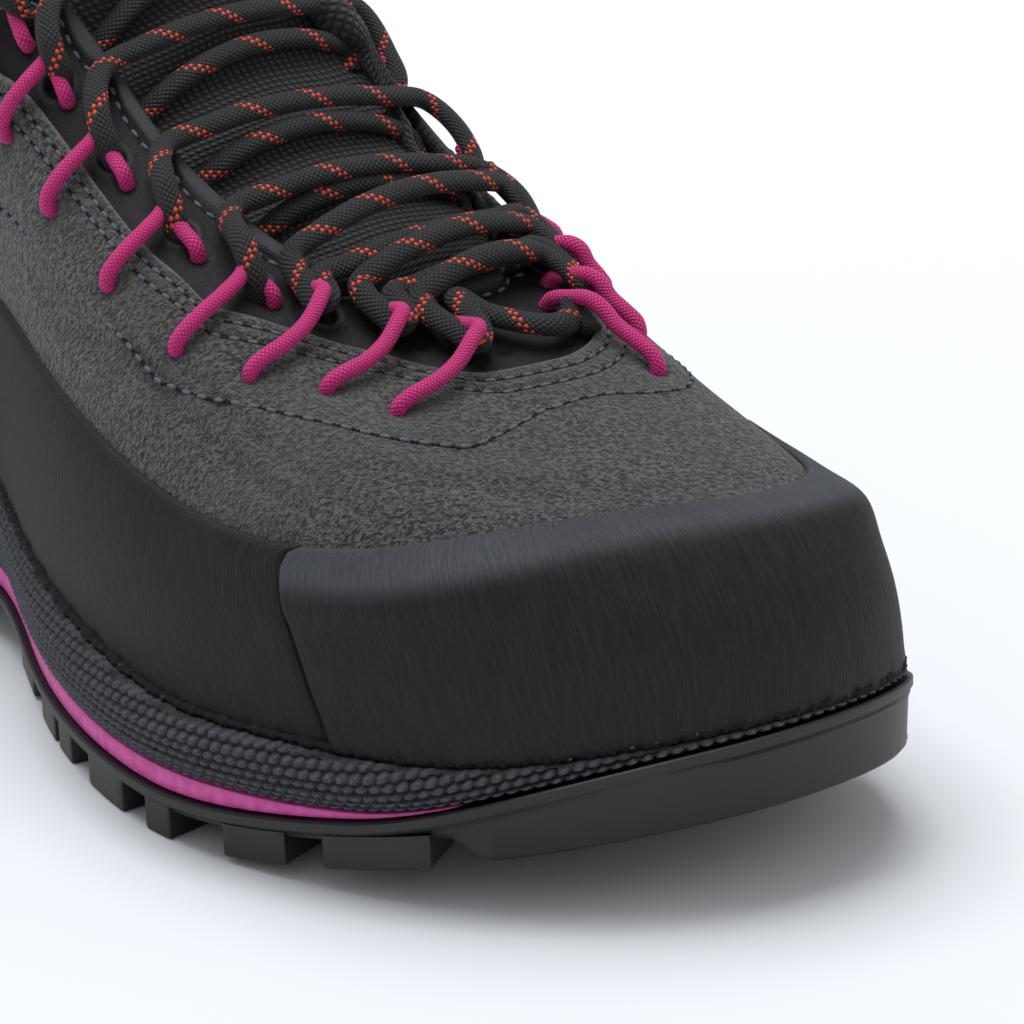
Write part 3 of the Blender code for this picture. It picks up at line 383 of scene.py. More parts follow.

# %% [markdown]
# The rand and toe cap are sheet rubber, glued on and then buffed with a wheel. Buffing leaves fine upright
# scratches about 0.4 mm apart and a dull satin face. The cap's top facet, which looks up to the light, is
# painted paler and bluer as a painted sheen, and a few brown patches of dust lie on the rest.

# %% Buffed rubber
SCRATCHES = (2600, 160, 1)  # a metre: across the scratches, along them
rubber, tree, where = start("buffed_rand_rubber", Roughness=0.62, IOR=1.52, Specular_IOR_Level=0.35)
stretch = add(tree, "Mapping", {0: add(tree, "UVMap", uv_map="skin"), "Scale": SCRATCHES})
scratches = add(tree, "TexNoise", {0: stretch, "Scale": 1, "Detail": 3, "Roughness": 0.6, "Distortion": 0.6})
mottle = add(tree, "TexNoise", {0: where, "Scale": 60, "Detail": 4})
# The facet layer is a painted sheen: the cap's top facet is painted paler and bluer where it faces the light.
colour = layered(
    tree, "#0C0C0C", ((scratches, 0.42, 0.66), "#242425", 1), ("facet", "#3C3F45", 1),
    ((mottle, 0.5, 0.7), "#241F1D", 0.3),
)
buffed = add(tree, "MapRange", {0: scratches, "To Min": 0.5, "To Max": 0.75})
finish_with(tree, colour, scratches, 0.0004, roughness=buffed)
print(rubber.name)

# %% [markdown]
# The outsole is rubber pressed in a polished mould. Its skin is smooth and a little glossier than the
# buffed rand, with a faint grain from the mould.

# %% Moulded rubber
tread_rubber, tree, where = start("moulded_sole_rubber", Roughness=0.48, IOR=1.52)
grain = add(tree, "TexNoise", {0: where, "Scale": 900, "Detail": 3})
dust = add(tree, "TexNoise", {0: where, "Scale": 45, "Detail": 5})
sheen = add(tree, "MapRange", {0: dust, "To Min": 0.38, "To Max": 0.6})
colour = layered(tree, "#0D0D0D", ((dust, 0.45, 0.8), "#171717", 1))
finish_with(tree, colour, grain, 0.00006, 0.6, sheen)
print(tread_rubber.name)

# %% [markdown]
# Contact glue squeezes out where the rubber ends. It dries black and dull, and pale dust sticks in it.

# %% Glue
glue, tree, where = start("dried_contact_glue", Roughness=0.9)
dust = add(tree, "TexNoise", {0: where, "Scale": 1400, "Detail": 2})
lumps = add(tree, "TexNoise", {0: where, "Scale": 700, "Detail": 3})
finish_with(tree, layered(tree, "#0A0A0A", ((dust, 0.68, 0.76), "#77756F", 1)), lumps, 0.0006)
print(glue.name)

# %% [markdown]
# The side of the midsole is dense foam with a woven, knobbly skin pressed into it. The knobs are real faces
# here. The material paints shade into the dips and paints the knob tops paler as a painted highlight, and adds
# the fine threads on each knob.

# %% Knobbly foam, coloured foam
knobbly, tree, where = start("woven_foam_side", Roughness=0.58)
threads = add(tree, "TexNoise", {0: where, "Scale": 2600, "Detail": 2})
# The knob mark darkens the dips as painted shade and lightens the knob tops as painted highlight.
colour = layered(tree, "#050506", (("knob", 0.3, 0.8), "#464B51", 1), ((threads, 0.4, 0.7), "#222528", 1))
finish_with(tree, colour, threads, 0.0002)

line_foam, tree, where = start("coloured_line_foam", Roughness=0.55)
streak = add(tree, "TexNoise", {0: where, "Scale": 500, "Detail": 3})
finish_with(tree, layered(tree, "#D44C9E", ((streak, 0.35, 0.7), "#EC62B4", 1)), streak, 0.00008)
print(knobbly.name, line_foam.name)

# %% [markdown]
# The facing is microfibre with a thin smooth face, so it looks like fine leather: even, dark and slightly
# shiny, with a grain of about half a millimetre. Its raised rim is a paler grey where it is worn.

# %% Smooth microfibre
microfibre, tree, where = start("smooth_microfibre", Roughness=0.62, Specular_IOR_Level=0.3)
grain = add(tree, "TexVoronoi", {0: where, "Scale": 2200}, feature="DISTANCE_TO_EDGE")
tone = add(tree, "TexNoise", {0: where, "Scale": 90, "Detail": 4})
# The hole layer paints the slots, and the spots where the loops' legs go in, darker: painted shade in them.
colour = layered(
    tree, "#070708", ((tone, 0.3, 0.75), "#121214", 1), ("rim", "#434649", 0.6), ("hole", "#060607", 1),
)
finish_with(tree, colour, add(tree, "MapRange", (grain, 0, 0.25)), 0.00006, 0.8)
print(microfibre.name)

# %% [markdown]
# The tongue, the collar's lining and the footbed are knitted mesh over thin foam. The knit stands in columns of
# small raised stitches, 1.3 mm apart. Its colour follows that relief: the dips between the stitches are painted
# dark, partly the knit's holes and partly painted shade, and the raised stitches are painted paler as a painted
# highlight.

# %% Knitted mesh
COLUMN_PITCH, STITCH_PITCH = 0.0013, 0.0011


def knitted(name, dark, light):
    made, tree, where = start(name, Roughness=0.85, Sheen_Weight=0.15)
    skin_uv = (add(tree, "UVMap", uv_map="skin"),)
    column, stitch = (
        reckon(
            tree, add(tree, "SeparateXYZ", skin_uv, out=axis),
            ("MULTIPLY", 2 * math.pi / pitch), ("COSINE",), ("MULTIPLY_ADD", 0.5, 0.5),
        )
        for axis, pitch in ((1, COLUMN_PITCH), (0, STITCH_PITCH))
    )
    knot = reckon(tree, column, ("POWER", 0.8), ("MULTIPLY", stitch))
    fuzz = add(tree, "TexNoise", {0: where, "Scale": 2500, "Detail": 2})
    # The knit's colour follows its relief: paler raised stitches as painted highlight, darker dips as painted
    # shade.
    finish_with(tree, layered(tree, dark, (knot, light, 1), (fuzz, dark, 0.3)), knot, 0.0004)
    return made


mesh_cloth = knitted("knitted_mesh", "#040405", "#37373B")
lining = knitted("collar_mesh", "#131316", "#2B2B2F")
print(mesh_cloth.name, lining.name)

# %% [markdown]
# Lace and loops are braids. Twelve yarns run each way round the lace and eight round a loop, and each
# shows as a slanted bead where it passes over. The braid is worked out from the cord's own map: its
# length one way and once round the other. Two neighbouring yarns of the lace are orange.

# %% Braids
FLECK_YARNS = 2


def braided(name, yarn, gap_shade_colour, pick, yarns, fleck=None):
    """pick is how far along the cord one yarn's crossing takes, and yarns how many run each way."""
    made, tree, _ = start(name, Roughness=0.65, Sheen_Weight=0.05)
    skin_uv = (add(tree, "UVMap", uv_map="skin"),)
    way = reckon(tree, add(tree, "SeparateXYZ", skin_uv), ("DIVIDE", pick))
    turn = reckon(tree, add(tree, "SeparateXYZ", skin_uv, out=1), ("MULTIPLY", yarns))
    right, left = (reckon(tree, way, (slant, turn)) for slant in ("ADD", "SUBTRACT"))
    bead_steps = ("MULTIPLY", math.pi), ("SINE",), ("ABSOLUTE",), ("POWER", 0.6)
    relief = reckon(tree, reckon(tree, right, *bead_steps), ("MULTIPLY", reckon(tree, left, *bead_steps)))
    # The gaps between the beads take the second colour, a darker one: painted shade between the beads.
    layers = [(relief, yarn, 1)]
    if fleck:
        number = reckon(tree, right, ("FLOOR",))
        on_top = reckon(tree, left, ("FLOOR",), ("ADD", number), ("FLOORED_MODULO", 2), ("LESS_THAN", 0.5))
        raised = add(tree, "MapRange", (relief, 0.1, 0.5))
        chosen = ("FLOORED_MODULO", yarns), ("LESS_THAN", FLECK_YARNS - 0.5)
        layers.append((reckon(tree, number, *chosen, ("MULTIPLY", on_top), ("MULTIPLY", raised)), fleck, 1))
    finish_with(tree, layered(tree, gap_shade_colour, *layers), relief, 0.00025)
    return made


# The second colour of each braid is painted shade in the gaps between its beads.
lace_braid = braided("lace_yarn", "#101214", "#040404", 0.0009, 12, "#F04A22")
loop_braid = braided("braided_loop_cord", "#F23090", "#BA1C6C", 0.0006, 8)
thread, tree, where = start("sewing_thread", Roughness=0.7)
twist = add(tree, "TexNoise", {0: where, "Scale": 3000, "Detail": 1})
finish_with(tree, layered(tree, "#3E464C", (twist, "#6A737B", 1)), twist, 0.0001)
# Needle holes are painted near-black beads with a little noise: painted shade standing in for the inside of
# each hole.
pit, tree, where = start("needle_hole_shade", Roughness=1.0)
pit_shade_noise = add(tree, "TexNoise", {0: where, "Scale": 800})
finish_with(tree, layered(tree, "#050505", (pit_shade_noise, "#141415", 1)), pit_shade_noise, 0.0001)
print(lace_braid.name, loop_braid.name, thread.name, pit.name)

# %% [markdown]
# Each curved piece starts as a flat grid from one operator. Its corners are then laid on the shoe's own
# surface, its seams are merged and its ends filled. The piece keeps a map in real metres, so that braid,
# knit and scratches follow it.

# %% Helpers for pieces
SEAM_MERGE, SLAB_MERGE = 2e-6, 2e-5


def laid_grid(points, uv=None, marks=None, closed=True):
    """A grid of faces laid over points[i, j], with seams merged and open ends filled."""
    long, wide = points.shape[:2]
    mesh = bmesh.new()
    bmesh.ops.create_grid(mesh, x_segments=wide - 1, y_segments=long - 1, size=0.5)
    data = bpy.data.meshes.new("grid")
    mesh.to_mesh(data)
    spots = place(points).reshape(-1, 3)
    data.vertices.foreach_set("co", spots.ravel())
    corners = np.empty(len(data.loops), np.int32)
    data.loops.foreach_get("vertex_index", corners)
    flat = spots[:, :2] if uv is None else uv.reshape(-1, 2)
    data.uv_layers.new(name="skin").data.foreach_set("uv", flat[corners].ravel())
    for name, values in (marks or {}).items():
        layer = data.attributes.new(name, "FLOAT", "POINT")
        layer.data.foreach_set("value", np.broadcast_to(values, (long, wide)).ravel())
    mesh.clear()
    mesh.from_mesh(data)
    bpy.data.meshes.remove(data)
    bmesh.ops.remove_doubles(mesh, verts=mesh.verts, dist=SEAM_MERGE)
    if closed:
        bmesh.ops.holes_fill(mesh, edges=[edge for edge in mesh.edges if edge.is_boundary], sides=0)
    return mesh


def piece(name, mesh, finish, *nodes, slot=None, sharp=None):
    """Turns a mesh into one named piece of the shoe, which stands for the nodes named."""
    bmesh.ops.recalc_face_normals(mesh, faces=mesh.faces)
    if mesh.calc_volume(signed=True) < 0:
        bmesh.ops.reverse_faces(mesh, faces=mesh.faces)
    data = bpy.data.meshes.new(name)
    mesh.to_mesh(data)
    mesh.free()
    data.materials.append(finish)
    data.shade_smooth()
    if sharp:
        data.set_sharp_from_angle(angle=math.radians(sharp))
    made = bpy.data.objects.new(name, data)
    bpy.context.scene.collection.objects.link(made)
    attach(made, "root")
    if nodes:
        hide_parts(*nodes)
    print(name, len(data.polygons), "faces")
    return made


def along_uv(points):
    """A map in metres: length along the middle line, and length across each row from its middle."""
    across = measured(points, 1)
    across = across - across[:, -1:] / 2
    length = measured(points[:, points.shape[1] // 2])[:, None]
    return np.stack([np.broadcast_to(length, across.shape), across], -1)


def hump(distance, width):
    """A soft round hill, 1 at its middle."""
    return np.exp(-((distance / width) ** 2))


print("a hump has sunk to", round(float(hump(1.0, 1.0)), 2), "one width away")

# %% [markdown]
# The suede's raw edge runs round the lacing. The table gives how far it lies from the rim at some
# stations, as measured on the photograph, with a small kink on the outer side. The cord holes lie
# further out. The same table feeds the suede, the facing that tucks under it and the seams.

# %% Edges and holes
SUEDE_EDGE = (  # station, distance from the rim in mm
    (4.3, 20.5), (5.0, 22.5), (5.86, 26.0), (6.3, 25.8), (6.59, 28.4), (6.8, 26.8), (7.1, 25.0),
    (7.8, 21.8), (8.5, 20.6), (8.9, 22.8), (9.36, 25.8), (9.8, 25.6), (10.4, 25.5), (11.0, 24.0),
    (12.0, 20.5), (13.0, 18.5), (14.0, 16.5), (15.0, 15.0),
)
THROAT_START, THROAT_END, THROAT_BLEND = 4.0 + 1 / 3, 15.0, 0.5
LOOP_COLUMNS = ("hole", "hole_share", "apex", "apex_share", "leg", "leg_share")
OUTER_LOOPS = (
    (8.32, 0.74, 9.52, 0.87, 9.90, 0.88), (7.70, 0.73, 8.87, 0.90, 9.10, 0.90),
    (6.95, 0.66, 7.95, 0.89, 8.25, 0.90), (6.26, 0.61, 7.03, 0.86, 7.40, 0.87),
    (5.59, 0.60, 6.13, 0.85, 6.51, 0.84), (4.95, 0.59, 5.39, 0.84, 5.69, 0.83),
    (4.42, 0.62, 4.84, 0.86, 5.02, 0.83), (3.95, 0.80, 4.45, 0.90, 4.59, 0.84),
)
INNER_LOOPS = (
    (11.25, 0.74, 11.10, 0.86, 10.90, 0.88), (11.90, 0.74, 11.70, 0.86, 11.50, 0.88),
    (12.55, 0.72, 12.25, 0.86, 12.05, 0.87), (13.15, 0.69, 12.80, 0.87, 12.62, 0.86),
    (13.76, 0.67, 13.44, 0.87, 13.25, 0.85), (14.36, 0.67, 14.08, 0.87, 13.90, 0.84),
    (14.87, 0.68, 14.66, 0.88, 14.48, 0.85), (15.20, 0.78, 14.95, 0.90, 14.80, 0.86),
)


def throat_part(station):
    """1 along the throat and 0 along the collar."""
    begin = smooth_step((np.asarray(station) - (THROAT_START - THROAT_BLEND)) / THROAT_BLEND)
    end = smooth_step(((THROAT_END + THROAT_BLEND) - np.asarray(station)) / THROAT_BLEND)
    return np.minimum(begin, end)


def suede_edge(station):
    """The raw edge's distance from the rim."""
    station = np.asarray(station, float) % ROWS
    marks = np.array(SUEDE_EDGE)
    fine = np.linspace(marks[0, 0], marks[-1, 0], 400)
    width = np.interp(fine, *marks.T)
    soft = np.convolve(np.pad(width, 8, "edge"), np.hanning(17) / np.hanning(17).sum(), "valid")
    return np.interp(station, fine, soft) * MM * throat_part(station)


def rand_share(station):
    return share_at_height(station, section(station)["rand"] * RAND_HEIGHT)


def near_loop(station, share, loops, name, reach):
    """How close points of the skin lie to the named places of the loops: 1 in the middle of one."""
    points = on_rib(station, share)
    found = np.zeros(points.shape[:-1])
    for row in loops:
        named = dict(zip(LOOP_COLUMNS, row))
        spot = on_rib(named[name], named[name + "_share"])
        found = np.maximum(found, hump(np.linalg.norm(points - spot, axis=-1), reach))
    return found


print("suede edge at the toe", round(float(suede_edge(9.5)) * 1000, 1), "mm from the rim")

# %% [markdown]
# Leather keeps the folds that it was walked into. Each crease here is a soft trough with a low ridge on either
# side: flex folds at the ball, a low swell behind the toe cap, light ones at instep and ankle. A simulation
# would put them where it liked, and a table puts them one by one. The double seam along the raw edge presses
# two grooves and leaves a soft swell between them.

# %% Creases and seam grooves
CREASES = (  # station, share, length along the shoe, width, depth in mm, slant
    (6.55, 0.47, 0.65, 0.030, 0.7, -0.10), (6.95, 0.52, 0.50, 0.026, 0.5, -0.12),
    (5.9, 0.50, 0.60, 0.035, 0.6, 0.10), (5.2, 0.45, 0.60, 0.035, 0.6, 0.10),
    (13.2, 0.52, 0.60, 0.030, 0.7, 0.12), (12.6, 0.56, 0.50, 0.028, 0.5, 0.12),
    (14.2, 0.50, 0.60, 0.035, 0.5, -0.10), (3.4, 0.60, 0.50, 0.050, 0.6, 0.10),
    (16.0, 0.62, 0.50, 0.050, 0.6, -0.1), (1.4, 0.62, 0.70, 0.050, 0.4, 0.0),
    (17.8, 0.62, 0.70, 0.050, 0.4, 0.0), (8.9, 0.60, 0.90, 0.030, -0.35, 0.0),
)
CREASE_LIP = 1.8  # the low ridge beside a trough lies this many widths away
SEAM_LINES = (3.0, 6.5)


def creases(station, share):
    total = np.zeros(np.shape(share))
    for at, level, length, width, depth, slant in CREASES:
        away = (station - at + ROWS / 2) % ROWS - ROWS / 2
        over = share - level - slant * away
        ridge = hump(over, width)
        for side in (-CREASE_LIP, CREASE_LIP):
            ridge = ridge - 0.5 * hump(over + side * width, width)
        total = total - depth * MM * hump(away, length) * ridge
    return total


def seam_grooves(below):
    """Grooves along the double seam, by distance below the raw edge, and the soft swell between them."""
    grooves = sum(-0.35 * MM * hump(below - line * MM, 0.0006) for line in SEAM_LINES)
    return grooves + 0.18 * MM * hump(below - np.mean(SEAM_LINES) * MM, 0.0012)


print("creases", len(CREASES), "deepest", max(row[4] for row in CREASES), "mm")

# %% [markdown]
# The upper is one lasted shell of suede with a real wall, open at collar, throat and foot. It is laid as rings
# from the raw edge down and back up the inside. Its rows lie close together near the edge, where grooves and
# dimples show, and wide apart under the rubber. Marks on the mesh tell the material where the cut edge is fuzzy
# and where a cord's hole is painted near-black, as painted shade inside the hole.

# %% The suede upper
ROUND = np.linspace(0, ROWS, 601)
EDGE_ROWS, MIDDLE_ROWS, HIDDEN_ROWS, INNER_ROWS = 40, 44, 6, 8
EDGE_BAND, RUBBER_LAP, CUT_ROWS = 0.0165, 0.02, (-0.75, -0.5, -0.25)
FUZZ_WIDTH, HOLE_RADIUS, DIMPLE_RADIUS, DIMPLE_DEPTH = 0.0007, 0.0016, 0.0022, 0.0009


def suede_skin(station, share, below):
    """How far the suede's face stands out at each point."""
    throat = throat_part(station)
    roll = -0.5 * MM * np.clip(1 - below / 0.0009, 0, 1) ** 2
    swell = 0.25 * MM * (1 - np.exp(-below / 0.002))
    dimples = near_loop(station, share, OUTER_LOOPS + INNER_LOOPS, "hole", DIMPLE_RADIUS)
    return creases(station, share) + throat * seam_grooves(below) + roll + swell - DIMPLE_DEPTH * dimples


def make_suede():
    station = ROUND[:, None]
    edge = suede_edge(station)
    near = share_from_rim(ROUND, edge + np.linspace(0, 1, EDGE_ROWS) ** 1.3 * EDGE_BAND)
    rubber_top = rand_share(station) - RUBBER_LAP
    part = np.linspace(0, 1, MIDDLE_ROWS + 1)[1:]
    middle = near[:, -1:] * (1 - part) + rubber_top * part
    hidden = rubber_top * (1 - np.linspace(0, 1, HIDDEN_ROWS + 1)[1:])
    outer = np.concatenate([near, middle, hidden], axis=1)
    depth = np.maximum(distance_of(ROUND, outer) - edge, 0)
    face = skin(station, outer, suede_skin(station, outer, depth))
    inner = skin(station, near[:, :1] * np.linspace(0, 1, INNER_ROWS), -WALL)
    inner[:, 0, 2] = face[:, -1, 2]
    cut = skin(station, near[:, :1], np.array([CUT_ROWS]) * WALL)
    points = np.concatenate([face, inner, cut, face[:, :1]], axis=1)
    back = np.zeros((len(ROUND), INNER_ROWS + 4))
    fuzz = np.concatenate([hump(depth, FUZZ_WIDTH) * throat_part(station), back], axis=1)
    fuzz[:, -4:] = throat_part(station)
    # The hole mark places the painted shade of each cord's hole.
    holes = near_loop(station, outer, OUTER_LOOPS + INNER_LOOPS, "hole", HOLE_RADIUS)
    holes = np.concatenate([smooth_step((holes - 0.35) / 0.3), back], axis=1)
    mesh = laid_grid(points, along_uv(points), {"cut_edge": fuzz, "hole": holes})
    return piece("suede_upper", mesh, suede, "upper", slot="suede")


make_suede()

# %% [markdown]
# Rubber is glued round the foot of the suede: thin strips at the sides and heel, and a thicker cap over
# the toe, with a soft ridge where its top facet turns into its front. Each strip thins out towards its
# upper edge and its ends are rounded over.

# %% Toe cap and rands
CAP_START, CAP_END, HEEL_RAND_END = 7.0 + 1 / 3, 12.0, 2.0
RAND_THICKNESS, CAP_THICKNESS, CAP_RIDGE = 0.0018, 0.0028, 0.0014
CAP_RIDGE_PLACE, CAP_RIDGE_SPREAD, RAND_THINNING = 0.74, 0.13, 0.55
ROLLED_END, ROLLED_TOP = 0.0022, 0.0014
FOOT_WAVES, FOOT_WAVY = ((900, 0.00012), (2300, 0.00008)), 0.002  # unevenness near the rubber's foot
SEAM_BEND = np.array(((0.0, 0.05), (0.25, 0.16), (0.6, 0.27), (0.85, 0.28), (0.94, 0.24), (1.0, 0.14)))


def rounded(distance, radius):
    """Rises from 0 to 1 over radius, as a quarter circle does."""
    inside = np.clip(distance / radius, 0, 1)
    return np.sqrt(np.clip(1 - (1 - inside) ** 2, 0, 1))


def make_rubber(name, begin, end, thickness, ridge, along_count, across_count=52, bends=(0, 0)):
    """bends says which ends follow the cap's bent seam: -1 and 1 shift them towards the heel or the toe."""
    station = np.linspace(begin, end, along_count)
    level = np.linspace(0, 1, across_count)
    bend = np.interp(level, *SEAM_BEND.T)
    way = np.linspace(0, 1, along_count)[:, None]
    grid = station[:, None] + bend * (bends[0] * (1 - way) + bends[1] * way)
    share = rand_share(grid) * level
    base = skin(grid, share)
    length, height = measured(base[:, across_count // 2]), measured(base, 1)
    part = height / height[:, -1:]
    thick = thickness * (1 - RAND_THINNING * part**6)
    thick += ridge * hump(part - CAP_RIDGE_PLACE, CAP_RIDGE_SPREAD)
    ends = rounded(np.minimum(length, length[-1] - length), ROLLED_END)[:, None]
    top = rounded(height[:, -1:] - height, ROLLED_TOP)
    wobble = sum(np.sin(length * rate)[:, None] * size for rate, size in FOOT_WAVES)
    thick = thick * (0.25 + 0.75 * ends) * (0.3 + 0.7 * top) + wobble * hump(height, FOOT_WAVY)
    outer = skin(grid, share, GAP + thick)
    inner = skin(grid[:, ::10], share[:, ::10][:, ::-1], GAP * 0.5)
    outer[:, 0, 2] = inner[:, -1, 2] = base[:, 0, 2]
    points = np.concatenate([outer, inner, outer[:, :1]], axis=1)
    # facet marks the cap's top facet, which the material paints paler and bluer as a painted sheen.
    facet = smooth_step((part - CAP_RIDGE_PLACE + 0.05) / 0.12) * (ridge > 0)
    facet = np.concatenate([facet, np.zeros((along_count, inner.shape[1] + 1))], axis=1)
    uv = np.stack([np.broadcast_to(length[:, None], height.shape), height], -1)
    uv = np.concatenate([uv, uv[:, ::10][:, ::-1], uv[:, :1]], axis=1)
    return piece(name + "_rubber", laid_grid(points, uv, {"facet": facet}), rubber, name, slot="rand_rubber")


make_rubber("toe_cap", CAP_START, CAP_END, CAP_THICKNESS, CAP_RIDGE, 300, 72, (-1, 1))
make_rubber("side_rand_outer", HEEL_RAND_END, CAP_START, RAND_THICKNESS, 0, 240, bends=(0, -1))
make_rubber("side_rand_inner", CAP_END, ROWS - HEEL_RAND_END, RAND_THICKNESS, 0, 240, bends=(1, 0))
make_rubber("heel_rand", -HEEL_RAND_END, HEEL_RAND_END, RAND_THICKNESS, 0, 200)

# %% [markdown]
# A ragged bead of black glue shows where the rubber meets the foam. It is a thin cord whose thickness
# wanders as the glue did. Cords, lace and webbing are all swept the same way: rings of points along a
# smooth path, with a map that gives length one way and once round the other, which the braids need.

# %% Cords along a path
def between_knots(values, slopes, first, part, size=1.0):
    """Smooth values a part of the way from each first knot to its next."""
    rest = 1 - part
    ends = values[first] * (1 + 2 * part) * rest**2 + values[first + 1] * part**2 * (3 - 2 * part)
    return ends + size * (slopes[first] * part * rest**2 - slopes[first + 1] * part**2 * rest)


def smooth_path(points, spacing):
    """Evenly spread points of a smooth path through given ones."""
    points = np.asarray(points, float)
    knots = measured(points)
    wanted = np.linspace(0, knots[-1], max(int(knots[-1] / spacing), 8))
    first = np.clip(np.searchsorted(knots, wanted, "right") - 1, 0, len(knots) - 2)
    size = (knots[first + 1] - knots[first])[:, None]
    part = (wanted - knots[first])[:, None] / size
    return between_knots(points, np.gradient(points, knots, axis=0), first, part, size)


def swept(path, ups, half_wide, half_high, sides, start_length=0.0):
    """Points and map of a cord along a path. ups says which way its flat side looks."""
    tangent = np.gradient(path, axis=0)
    tangent /= np.linalg.norm(tangent, axis=1, keepdims=True)
    side = np.cross(tangent, ups)
    side /= np.linalg.norm(side, axis=1, keepdims=True)
    up = np.cross(side, tangent)
    angle = np.linspace(0, 2 * math.pi, sides + 1)
    wide, high = (np.broadcast_to(half, len(path))[:, None, None] for half in (half_wide, half_high))
    ring = np.cos(angle)[:, None] * side[:, None] * wide + np.sin(angle)[:, None] * up[:, None] * high
    length = start_length + measured(path)
    uv = np.stack(np.broadcast_arrays(length[:, None], angle[None] / (2 * math.pi)), -1)
    return path[:, None] + ring, uv


def joined(meshes):
    """One mesh from several, with their maps and marks."""
    whole = bmesh.new()
    for mesh in meshes:
        bmesh.ops.recalc_face_normals(mesh, faces=mesh.faces)
        data = bpy.data.meshes.new("part")
        mesh.to_mesh(data)
        mesh.free()
        whole.from_mesh(data)
        bpy.data.meshes.remove(data)
    return whole


GLUE_SHARE, GLUE_OUT, GLUE_SIZE, GLUE_FLATNESS = 0.002, 0.0022, 0.0006, 1.6
GLUE_TOE, GLUE_TOE_SWELL = 0.84, 0.0001


def make_glue():
    station = np.linspace(0, ROWS, 1201)
    path = skin(station, GLUE_SHARE, GLUE_OUT)
    wander = 0.0002 * np.sin(station * 41) * np.sin(station * 17.3)
    rough = GLUE_SIZE + wander + 0.00014 * np.sin(station * 113)
    rough = rough + GLUE_TOE_SWELL * smooth_step((section(station)["along"] - GLUE_TOE) / 0.1)
    path[-1], rough[-1] = path[0], rough[0]
    points, uv = swept(path, (0.0, 0.0, 1.0), rough * GLUE_FLATNESS, rough, 8)
    return piece("glue_line", laid_grid(points, uv), glue, slot="sole_rubber")


make_glue()

# %% [markdown]
# The foam band is a moulded ring with knobs pressed in its side, in rows like a coarse weave: 2.2 mm
# apart along the sole and 1.35 mm apart up it, each row set half a step on. The footbed's hollow in its
# top holds the insole. The knobs stand out by a millimetre, so they are real faces.

# %% The knobbly midsole
LINE_INSET, BAND_BULGE = 0.0012, 0.0022
BAND_TOE_START, BAND_TOE_END, BAND_TOE_INSET, BAND_TOE_DROP = 0.84, 0.96, 0.0012, 0.0008
FOOTBED_DEPTH, FOOTBED_TOE_DEPTH, FOOTBED_TOE_START, FOOTBED_TOE_END = 0.005, 0.0005, 0.72, 0.92
FOOTBED_INSET, INSOLE_THICKNESS = 0.0105, 0.004
BAND_PROFILE = np.array(((0.0, 0.0), (0.3, 0.8), (0.7, 1.0), (1.0, 0.3)))
KNOB_LONG, KNOB_HIGH, KNOB_RELIEF = 0.0022, 0.00135, 0.0011


def footbed(station):
    share = outline(station)[0] / LENGTH
    toe = smooth_step((share - FOOTBED_TOE_START) / (FOOTBED_TOE_END - FOOTBED_TOE_START))
    return deck(station) - FOOTBED_DEPTH - (FOOTBED_TOE_DEPTH - FOOTBED_DEPTH) * toe


def band_edge(station, height_share, extra=0.0):
    """Points of the midsole's side."""
    toe = smooth_step((section(station)["along"] - BAND_TOE_START) / (BAND_TOE_END - BAND_TOE_START))
    bulge = np.interp(height_share, *BAND_PROFILE.T) * BAND_BULGE
    inset = (LINE_INSET - bulge) * (1 - toe) + BAND_TOE_INSET * toe - extra
    low = line_top(outline(station, LINE_INSET)[0]) + GAP - BAND_TOE_DROP * toe
    return edge_at(station, inset, low + height_share * (deck(station) - low))


def knobs(length, height):
    """The weave's relief, 0 in the dips and 1 on the knobs."""
    row = np.floor(height / KNOB_HIGH)
    upright = np.abs(np.sin(math.pi * height / KNOB_HIGH))
    lengthwise = np.abs(np.sin(math.pi * (length / KNOB_LONG + 0.5 * (row % 2))))
    return upright**0.6 * lengthwise**0.6


def make_midsole():
    station = np.linspace(0, ROWS, 1501)
    level = np.linspace(0, 1, 44)
    grid, share = np.broadcast_arrays(station[:, None], level[None])
    flat = band_edge(grid, share)
    length = measured(flat[:, 20])
    turns = round(length[-1] / KNOB_LONG)
    length = length * turns * KNOB_LONG / length[-1]
    tall = np.linalg.norm(flat - flat[:, :1], axis=-1)
    relief = knobs(length[:, None], tall) * smooth_step(tall / 0.0008)
    side = band_edge(grid, share, (relief - 0.6) * KNOB_RELIEF)
    mouth = edge_at(station, FOOTBED_INSET - 0.001, deck(station))
    hollow = edge_at(station, FOOTBED_INSET, footbed(station) + 0.0001)
    points = np.concatenate([side, np.stack([mouth, hollow], 1)], axis=1)
    marks = {"knob": np.concatenate([relief, np.full((len(station), 2), 0.4)], axis=1)}
    mesh = laid_grid(points, along_uv(points), marks)
    return piece("knobbly_midsole", mesh, knobbly, "midsole", slot="knobbly_foam")


make_midsole()

# %% [markdown]
# The thin coloured line lies between outsole and midsole and shows as a stripe that tapers out before the
# toe. The insole lies loose in the hollow. Both are flat slabs: a ladder of strips from the outer edge to
# the inner one, rounded at its rim.

# %% Slabs across the sole
HALF = np.linspace(0, ROWS / 2, 161)
WHOLE = np.linspace(0, ROWS, 2 * len(HALF) - 1)


def across_shoe(inset, height, plan=outline, count=17, crown=0.0):
    """A surface from the outer edge to the inner edge. height is a function of station."""
    part = np.linspace(0, 1, count)[None, :, None]
    first, last = (edge_at(station, inset, height(station), plan)[:, None] for station in (HALF, ROWS - HALF))
    points = first * (1 - part) + last * part
    points[..., 2] -= crown * (4 * part * (1 - part))[..., 0]
    return points


